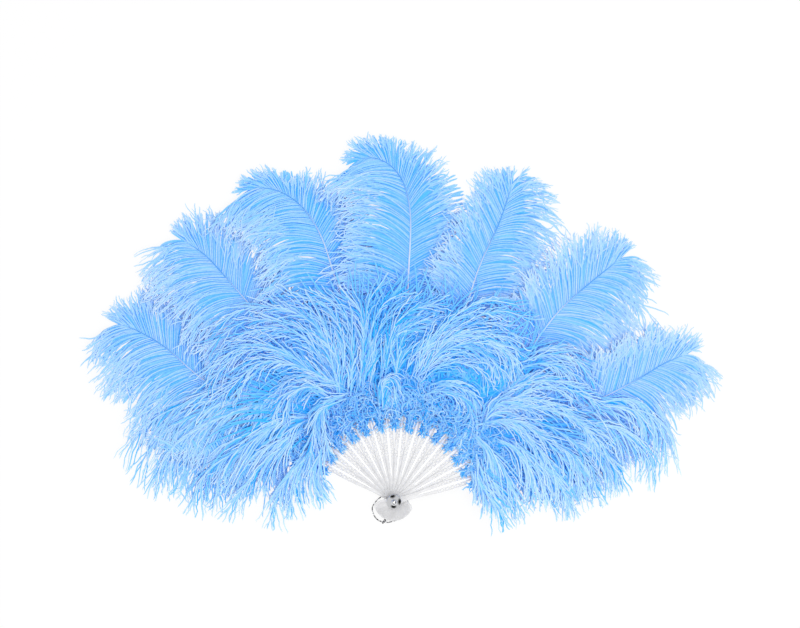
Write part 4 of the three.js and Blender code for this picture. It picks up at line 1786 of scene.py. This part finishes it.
@dataclass
class RuffTuft:
    """Frizzy down over the end of one stick."""

    stick: int
    inner: float = 80.0
    rib_end: float = 97.0
    outer: float = 128.0
    tall: float = 15.0
    rib_share: float = 0.3
    over_share: float = 0.56
    crimped: int = 260
    crimped_half: float = 0.5
    crimped_near: Spot = (5.0, 11.0)
    crimped_far: Spot = (12.0, 27.0)
    fuzz: int = 190
    fuzz_half: float = 0.9
    fuzz_near: Spot = (5.0, 9.0)
    fuzz_far: Spot = (11.0, 24.0)

    def base_height(self) -> float:
        """Height of the quills that the down stands on."""
        front = self.stick in FAN.front_sticks
        quill = FAN.front_quill_height(self.stick) if front else FAN.quill_height(self.stick)
        return quill + FAN.quill_radius

    def spots(self, count: int, rng: np.random.Generator) -> Array:
        """Spread places over the stick's share of the ruff, clear of the rib's tip.

        Args:
            count: how many.
            rng: the source of chance.

        Returns:
            Places in the plane, one row each.
        """
        radii = rng.uniform(self.inner + 3.0, self.outer, count)
        beside = rng.choice([-1.0, 1.0], count) * rng.uniform(self.rib_share, self.over_share, count)
        over = rng.uniform(-self.over_share, self.over_share, count)
        angles = FAN.angle(self.stick) + np.where(radii < self.rib_end, beside, over) * FAN.step
        return np.array([polar(r, a) for r, a in zip(radii, angles)])

    def beside_ribs(self, roots: Array) -> Array:
        """Whether strands start beside the tips of the ribs."""
        return np.linalg.norm(roots, axis=1) < self.rib_end

    def headings(self, roots: Array, spread: float, rng: np.random.Generator) -> Array:
        """Directions of strands: every way in the ruff, and along the ribs beside them.

        Args:
            roots: where they start.
            spread: how far they turn from the stick's line, in degrees.
            rng: the source of chance.

        Returns:
            One direction for each strand, in radians.
        """
        count = len(roots)
        free = rng.normal(0.0, spread, count)
        along = rng.choice([0.0, 180.0], count) + rng.normal(0.0, 22.0, count)
        return np.radians(FAN.angle(self.stick) + np.where(self.beside_ribs(roots), along, free))

    def lengths(self, roots: Array, headings: Array, near: Spot, far: Spot,
                rng: np.random.Generator) -> Array:
        """Lengths of strands, kept short where they would reach over the blades.

        Args:
            roots: where they start.
            headings: which way they point, in radians.
            near: shortest and longest at the ruff's inner edge.
            far: shortest and longest elsewhere.
            rng: the source of chance.

        Returns:
            One length for each strand.
        """
        radii = np.linalg.norm(roots, axis=1)
        inward = -np.cos(headings - np.arctan2(roots[:, 1], roots[:, 0]))
        least = np.where(self.beside_ribs(roots), self.inner - 5.0, self.rib_end - 6.0)
        room = np.maximum((radii - least) / np.maximum(inward, 0.2), 4.0)
        short, long = rng.uniform(*near, len(roots)), rng.uniform(*far, len(roots))
        wanted = np.where(self.beside_ribs(roots), short, long)
        return np.where(inward > 0.0, np.minimum(wanted, room), wanted)

    def crimped_down(self, bundle: StrandBundle, rng: np.random.Generator) -> None:
        """Set short crimped threads that curl every way.

        Args:
            bundle: where they go.
            rng: the source of chance.
        """
        count, steps = self.crimped, 11
        roots = self.spots(count, rng)
        headings = self.headings(roots, 95.0, rng)
        lengths = self.lengths(roots, headings, self.crimped_near, self.crimped_far, rng)
        curls = rng.normal(0.0, 2.4, count) * np.where(self.beside_ribs(roots), 0.4, 1.0)
        kinks = crimps(count, steps, 26.0, 0.3, rng)
        plan = grow(roots, headings, lengths, curls, np.zeros(count), kinks)
        stand = rng.uniform(0.15, 0.8, (count, 1))
        bow = rng.normal(0.0, 0.25, (count, 1)) * np.sin(math.pi * stations(steps)[None, :])
        base = self.base_height()
        height = np.clip(base + self.tall * (stand + bow), base - 1.0, base + self.tall)
        # Painted shade: threads that stand lower take deeper tones, taller ones paler.
        tones = np.clip(1.1 * stand[:, 0] + rng.normal(-0.2, 0.22, count), 0.0, 1.0)
        widths = tapered(count, steps + 1, self.crimped_half, 0.2, rng)
        bundle.add(lifted(plan, height), widths, tones, leaning(count, 0.3, rng))

    def undergrowth(self, bundle: StrandBundle, rng: np.random.Generator) -> None:
        """Fill below the threads with short soft strands that point every way.

        Args:
            bundle: where they go.
            rng: the source of chance.
        """
        count, steps = self.fuzz, 6
        roots = self.spots(count, rng)
        headings = self.headings(roots, 75.0, rng)
        lengths = self.lengths(roots, headings, self.fuzz_near, self.fuzz_far, rng)
        curls = rng.normal(0.0, 1.3, count)
        kinks = crimps(count, steps, 12.0, 1.0, rng)
        plan = grow(roots, headings, lengths, curls, np.zeros(count), kinks)
        height = self.base_height() + rng.uniform(-1.0, 4.0, (count, 1))
        widths = tapered(count, steps + 1, self.fuzz_half, 0.25, rng)
        # Painted shade: the strands below the threads take deep tones.
        bundle.add(lifted(plan, height), widths, rng.uniform(0.0, 0.22, count), leaning(count, 0.4, rng))

    def build(self) -> None:
        """Make the tuft and dress it."""
        rng = np.random.default_rng(300 + self.stick)
        bundle = StrandBundle()
        self.undergrowth(bundle, rng)
        self.crimped_down(bundle, rng)
        node = f"ruff_tuft_{self.stick:02d}"
        piece = bundle.build(f"{node}_curls")
        dress(piece, DOWN_FINISH, FAN.body(self.stick), Slot.DOWN, node)
        gather_when_folded(piece)


# Studio


@dataclass
class Studio:
    """White table, soft light from above and dark cards that only bright metal shows; sizes in metres."""

    table_size: float = 12.0
    table_white: Colour = (0.92, 0.92, 0.92, 1.0)
    shadow_share: float = 0.12
    sky_seen: Colour = (0.8, 0.8, 0.8, 1.0)
    world_strength: float = 0.562
    key_power: float = 31.0
    key_size: float = 1.5
    key_at: tuple[float, float, float] = (0.24, 0.06, 2.0)
    aim: tuple[float, float, float] = (0.0, 0.2, 0.0)
    light_bounces: int = 12
    cards: tuple[tuple[float, float, float, float, float], ...] = (
        (-0.35, 1.4, 0.95, 2.2, 1.7), (1.45, -0.05, 0.85, 2.4, 1.7), (-0.1, -1.2, 1.05, 1.9, 1.5))

    @staticmethod
    def seen_rays(tree: bpy.types.NodeTree) -> Socket:
        """Tell the rays that show a surface from those that light others.

        Args:
            tree: the node tree.

        Returns:
            A socket that is 1 for camera, glossy and transmission rays.
        """
        path = tree.nodes.new("ShaderNodeLightPath")
        total = path.outputs["Is Camera Ray"]
        for name in ("Is Glossy Ray", "Is Transmission Ray"):
            joined = tree.nodes.new("ShaderNodeMath")
            joined.operation = "MAXIMUM"
            tree.links.new(total, joined.inputs[0])
            tree.links.new(path.outputs[name], joined.inputs[1])
            total = joined.outputs["Value"]
        return total

    @staticmethod
    def choose(tree: bpy.types.NodeTree, share: Socket, usual: Socket, seen: Socket, surface: Socket) -> None:
        """Mix two shaders on a surface.

        Args:
            tree: the node tree.
            share: how much of the second shader there is.
            usual: the first shader.
            seen: the second shader.
            surface: the output that they go to.
        """
        chooser = tree.nodes.new("ShaderNodeMixShader")
        for source, target in zip((share, usual, seen), chooser.inputs):
            tree.links.new(source, target)
        tree.links.new(chooser.outputs["Shader"], surface)

    @staticmethod
    def towards_origin(x: float, y: float, z: float) -> tuple[float, float, float]:
        """Rotation of a lamp or card at a place whose underside faces the origin."""
        return math.atan2(math.hypot(x, y), z), 0.0, math.atan2(x, -y)

    def white_world(self) -> None:
        """Even light, and a plain pale ground where the camera or a reflection sees past the table."""
        world = bpy.data.worlds.new("studio")
        world.use_nodes = True
        bpy.context.scene.world = world
        tree = world.node_tree
        lit, seen = tree.nodes["Background"], tree.nodes.new("ShaderNodeBackground")
        for node, colour, strength in ((lit, WHITE, self.world_strength), (seen, self.sky_seen, 1.0)):
            node.inputs["Color"].default_value = colour
            node.inputs["Strength"].default_value = strength
        self.choose(tree, self.seen_rays(tree), lit.outputs["Background"], seen.outputs["Background"],
                    tree.nodes["World Output"].inputs["Surface"])

    def table(self) -> None:
        """White table top that keeps a soft part of the fan's shadow."""
        bpy.ops.object.select_all(action="DESELECT")
        bpy.ops.mesh.primitive_plane_add(size=self.table_size, location=(0.0, 0.0, 0.0))
        top = bpy.context.object
        top.name = "table_top"
        board = NodeBoard("table_white")
        board.set(Base_Color=self.table_white, Roughness=0.9, Specular_IOR_Level=0.0)
        glow = board.add("ShaderNodeEmission")
        level = board.add("ShaderNodeMath", operation="MULTIPLY")
        level.inputs[1].default_value = 1.0 - self.shadow_share
        board.join(self.seen_rays(board.tree), level.inputs[0])
        surface = board.tree.nodes["Material Output"].inputs["Surface"]
        self.choose(board.tree, level.outputs["Value"], board.shader.outputs["BSDF"],
                    glow.outputs["Emission"], surface)
        top.data.materials.append(board.material)

    def key_light(self) -> None:
        """One large soft lamp above the fan, near the camera."""
        data = bpy.data.lights.new("key_softbox", "AREA")
        data.energy = self.key_power
        data.size = self.key_size
        lamp = link("key_softbox", data)
        lamp.location = self.key_at
        lamp.rotation_euler = self.towards_origin(*(np.array(self.key_at) - np.array(self.aim)))

    @staticmethod
    def card_material() -> bpy.types.Material:
        """Black that fades out towards a card's edge."""
        board = NodeBoard("card_black")
        board.set(Base_Color=(0.02, 0.02, 0.02, 1.0), Roughness=1.0, Specular_IOR_Level=0.0)
        spread = board.add("ShaderNodeMapping")
        spread.inputs["Location"].default_value = (-1.0, -1.0, 0.0)
        spread.inputs["Scale"].default_value = (2.0, 2.0, 1.0)
        board.join(board.add("ShaderNodeTexCoord").outputs["UV"], spread.inputs["Vector"])
        fade = board.add("ShaderNodeTexGradient", gradient_type="SPHERICAL")
        board.join(spread.outputs["Vector"], fade.inputs["Vector"])
        cover = board.ramp(fade.outputs["Fac"], [(0.05, BLACK), (0.6, WHITE)])
        board.join(cover, board.shader.inputs["Alpha"])
        return board.material

    def dark_cards(self) -> None:
        """Stand dark cards round the fan that only show in reflections."""
        material = self.card_material()
        for number, (x, y, z, wide, tall) in enumerate(self.cards, start=1):
            bpy.ops.object.select_all(action="DESELECT")
            turn = self.towards_origin(x, y, z)
            bpy.ops.mesh.primitive_plane_add(size=1.0, location=(x, y, z), rotation=turn)
            card = bpy.context.object
            card.name = f"dark_card_{number}"
            card.scale = (wide, tall, 1.0)
            bpy.ops.object.transform_apply(location=False, rotation=False, scale=True)
            card.data.materials.append(material)
            card.visible_camera = False
            card.visible_diffuse = False
            card.visible_shadow = False

    def build(self) -> None:
        """Set up the studio."""
        self.white_world()
        self.dark_cards()
        self.table()
        self.key_light()
        bpy.context.scene.view_settings.view_transform = "Standard"
        bpy.context.scene.cycles.diffuse_bounces = self.light_bounces
        bpy.context.scene.cycles.max_bounces = self.light_bounces + 4


SHAFTS_PX: dict[int, tuple[Spot, ...]] = {
    1: ((207, 382), (165, 347), (140, 332), (115, 322)),
    2: ((265, 322), (230, 282), (205, 255), (180, 238)),
    3: ((340, 292), (321, 236), (304, 209), (285, 194), (265, 188), (244, 191)),
    4: ((408, 287), (410, 210), (403, 182), (391, 166), (374, 158), (352, 161)),
    5: ((462, 318), (480, 265), (498, 226), (507, 201), (514, 178)),
    6: ((520, 360), (560, 310), (590, 283), (625, 255)),
    7: ((600, 399), (640, 378), (665, 363), (692, 352)),
}


def plumes() -> list[Plume]:
    """The seven plumes, from the left."""
    return [
        # The paler values paint light on the plumes: paler where more light falls, deeper where less.
        Plume(1, 2, SHAFTS_PX[1], half_width=63, paler=0.06, standing=(1.05, 1.1, 1.1)),
        Plume(2, 4, SHAFTS_PX[2], half_width=56, paler=0.1, falling=(1.05, 1.2, 1.3),
              standing=(1.12, 1.25, 1.35)),
        Plume(3, 6, SHAFTS_PX[3], half_width=58, paler=-0.04, falling=(0.98, 1.04, 1.45),
              standing=(0.9, 0.58, 1.1)),
        Plume(4, 7, SHAFTS_PX[4], half_width=58, paler=-0.06, falling=(1.0, 1.15, 1.6),
              standing=(1.18, 0.66, 1.15)),
        Plume(5, 8, SHAFTS_PX[5], half_width=54, fall=Fall.RIGHT, paler=0.06, falling=(0.97, 0.92, 0.92),
              standing=(1.1, 1.2, 1.2)),
        Plume(6, 10, SHAFTS_PX[6], half_width=57, fall=Fall.RIGHT, paler=0.12, falling=(1.15, 1.12, 1.0),
              standing=(1.17, 1.35, 1.35)),
        Plume(7, 12, SHAFTS_PX[7], half_width=57, fall=Fall.RIGHT, paler=0.15, standing=(1.07, 1.15, 1.15)),
    ]


LOCKS_PX: dict[int, tuple[tuple[Spot, ...], ...]] = {
    1: (((245, 377), (198, 398), (156, 418), (127, 445)),
        ((257, 391), (208, 409), (164, 433), (138, 467)),
        ((268, 404), (221, 418), (177, 445), (153, 483)),
        ((316, 416), (284, 421), (256, 440), (238, 472)),
        ((283, 421), (245, 445), (206, 474), (192, 509)),
        ((303, 433), (271, 456), (245, 486), (224, 516)),
        ((315, 445), (292, 471), (277, 498), (271, 525)),
        ((324, 445), (315, 468), (314, 486), (322, 500)),
        ((336, 392), (296, 385), (270, 398), (259, 422), (245, 449))),
    2: (((340, 388), (304, 329), (245, 322), (205, 351)),
        ((340, 388), (279, 351), (245, 351), (215, 378), (205, 393)),
        ((332, 398), (307, 387), (285, 396), (272, 420)),
        ((347, 398), (321, 410), (313, 439), (309, 473))),
    3: (((341, 393), (333, 353), (306, 316), (270, 303)),
        ((348, 391), (354, 343), (343, 311), (303, 288)),
        ((360, 386), (364, 340), (360, 310), (340, 292))),
    4: (((369, 381), (371, 332), (385, 303), (411, 290)),
        ((382, 376), (396, 324), (415, 309), (446, 303)),
        ((383, 409), (384, 383), (391, 378), (397, 407)),
        ((395, 380), (400, 345), (412, 325), (432, 318))),
    5: (((415, 376), (423, 351), (446, 323), (484, 301), (522, 306)),
        ((418, 376), (440, 353), (471, 342), (504, 351), (521, 378)),
        ((428, 363), (452, 338), (486, 338), (515, 360), (519, 384)),
        ((429, 389), (448, 384), (471, 395), (476, 414), (468, 437))),
    6: (((521, 362), (547, 354), (576, 362), (597, 389)),
        ((503, 395), (538, 380), (574, 386), (603, 409)),
        ((479, 412), (524, 404), (568, 415), (597, 439), (610, 468)),
        ((479, 424), (509, 424), (538, 448), (556, 477), (559, 495)),
        ((482, 426), (496, 403), (521, 403), (540, 417))),
    7: (((579, 415), (615, 409), (648, 413), (664, 434), (664, 456)),
        ((574, 427), (609, 425), (634, 442), (648, 464), (646, 473)),
        ((562, 436), (591, 447), (613, 466), (621, 484)),
        ((547, 442), (576, 458), (591, 480), (600, 497)),
        ((526, 454), (550, 471), (565, 495), (568, 515)),
        ((498, 438), (522, 450), (540, 474), (548, 502)),
        ((476, 436), (494, 454), (509, 483), (521, 512)),
        ((474, 459), (482, 483), (497, 506), (506, 526)),
        ((474, 468), (481, 488), (486, 506))),
}


SIDE_SHAFTS_PX: dict[int, tuple[Spot, ...]] = {
    1: ((258, 454), (205, 452), (130, 450)),
    7: ((534, 457), (592, 452), (644, 442)),
}


def front_feathers() -> list[FrontFeather]:
    """The seven front feathers, from the left."""
    return [
        SideFeather(1, 1, SIDE_SHAFTS_PX[1], locks_px=LOCKS_PX[1], fall=Fall.LEFT),
        FrontFeather(2, 3, locks_px=LOCKS_PX[2]),
        FrontFeather(3, 5, locks_px=LOCKS_PX[3], tone=0.5),
        FrontFeather(4, 7, locks_px=LOCKS_PX[4], tone=0.3),
        FrontFeather(5, 9, locks_px=LOCKS_PX[5], tone=0.56),
        FrontFeather(6, 11, locks_px=LOCKS_PX[6], tone=0.72),
        SideFeather(7, 13, SIDE_SHAFTS_PX[7], locks_px=LOCKS_PX[7], fall=Fall.RIGHT, crest=(38.0, 19.0)),
    ]


def ruff_tufts() -> list[RuffTuft]:
    """The tufts of down, from the left; the last three lie lower, under the locks beside them."""
    sticks = range(1, FAN.stick_count + 1)
    return [RuffTuft(stick, tall=15.0 if stick < 11 else 9.0) for stick in sticks]


def main() -> None:
    """Build the fan's pieces in order."""
    logging.basicConfig(level=logging.INFO, format="%(name)s: %(message)s")
    PhotoCamera().build()
    WristLoop().build()
    Sticks().build()
    LinkingThread().build()
    Rivet().build()
    for plume in plumes():
        plume.build()
    for feather in front_feathers():
        feather.build()
    for tuft in ruff_tufts():
        tuft.build()
    Studio().build()


if __name__ == "__main__":
    main()
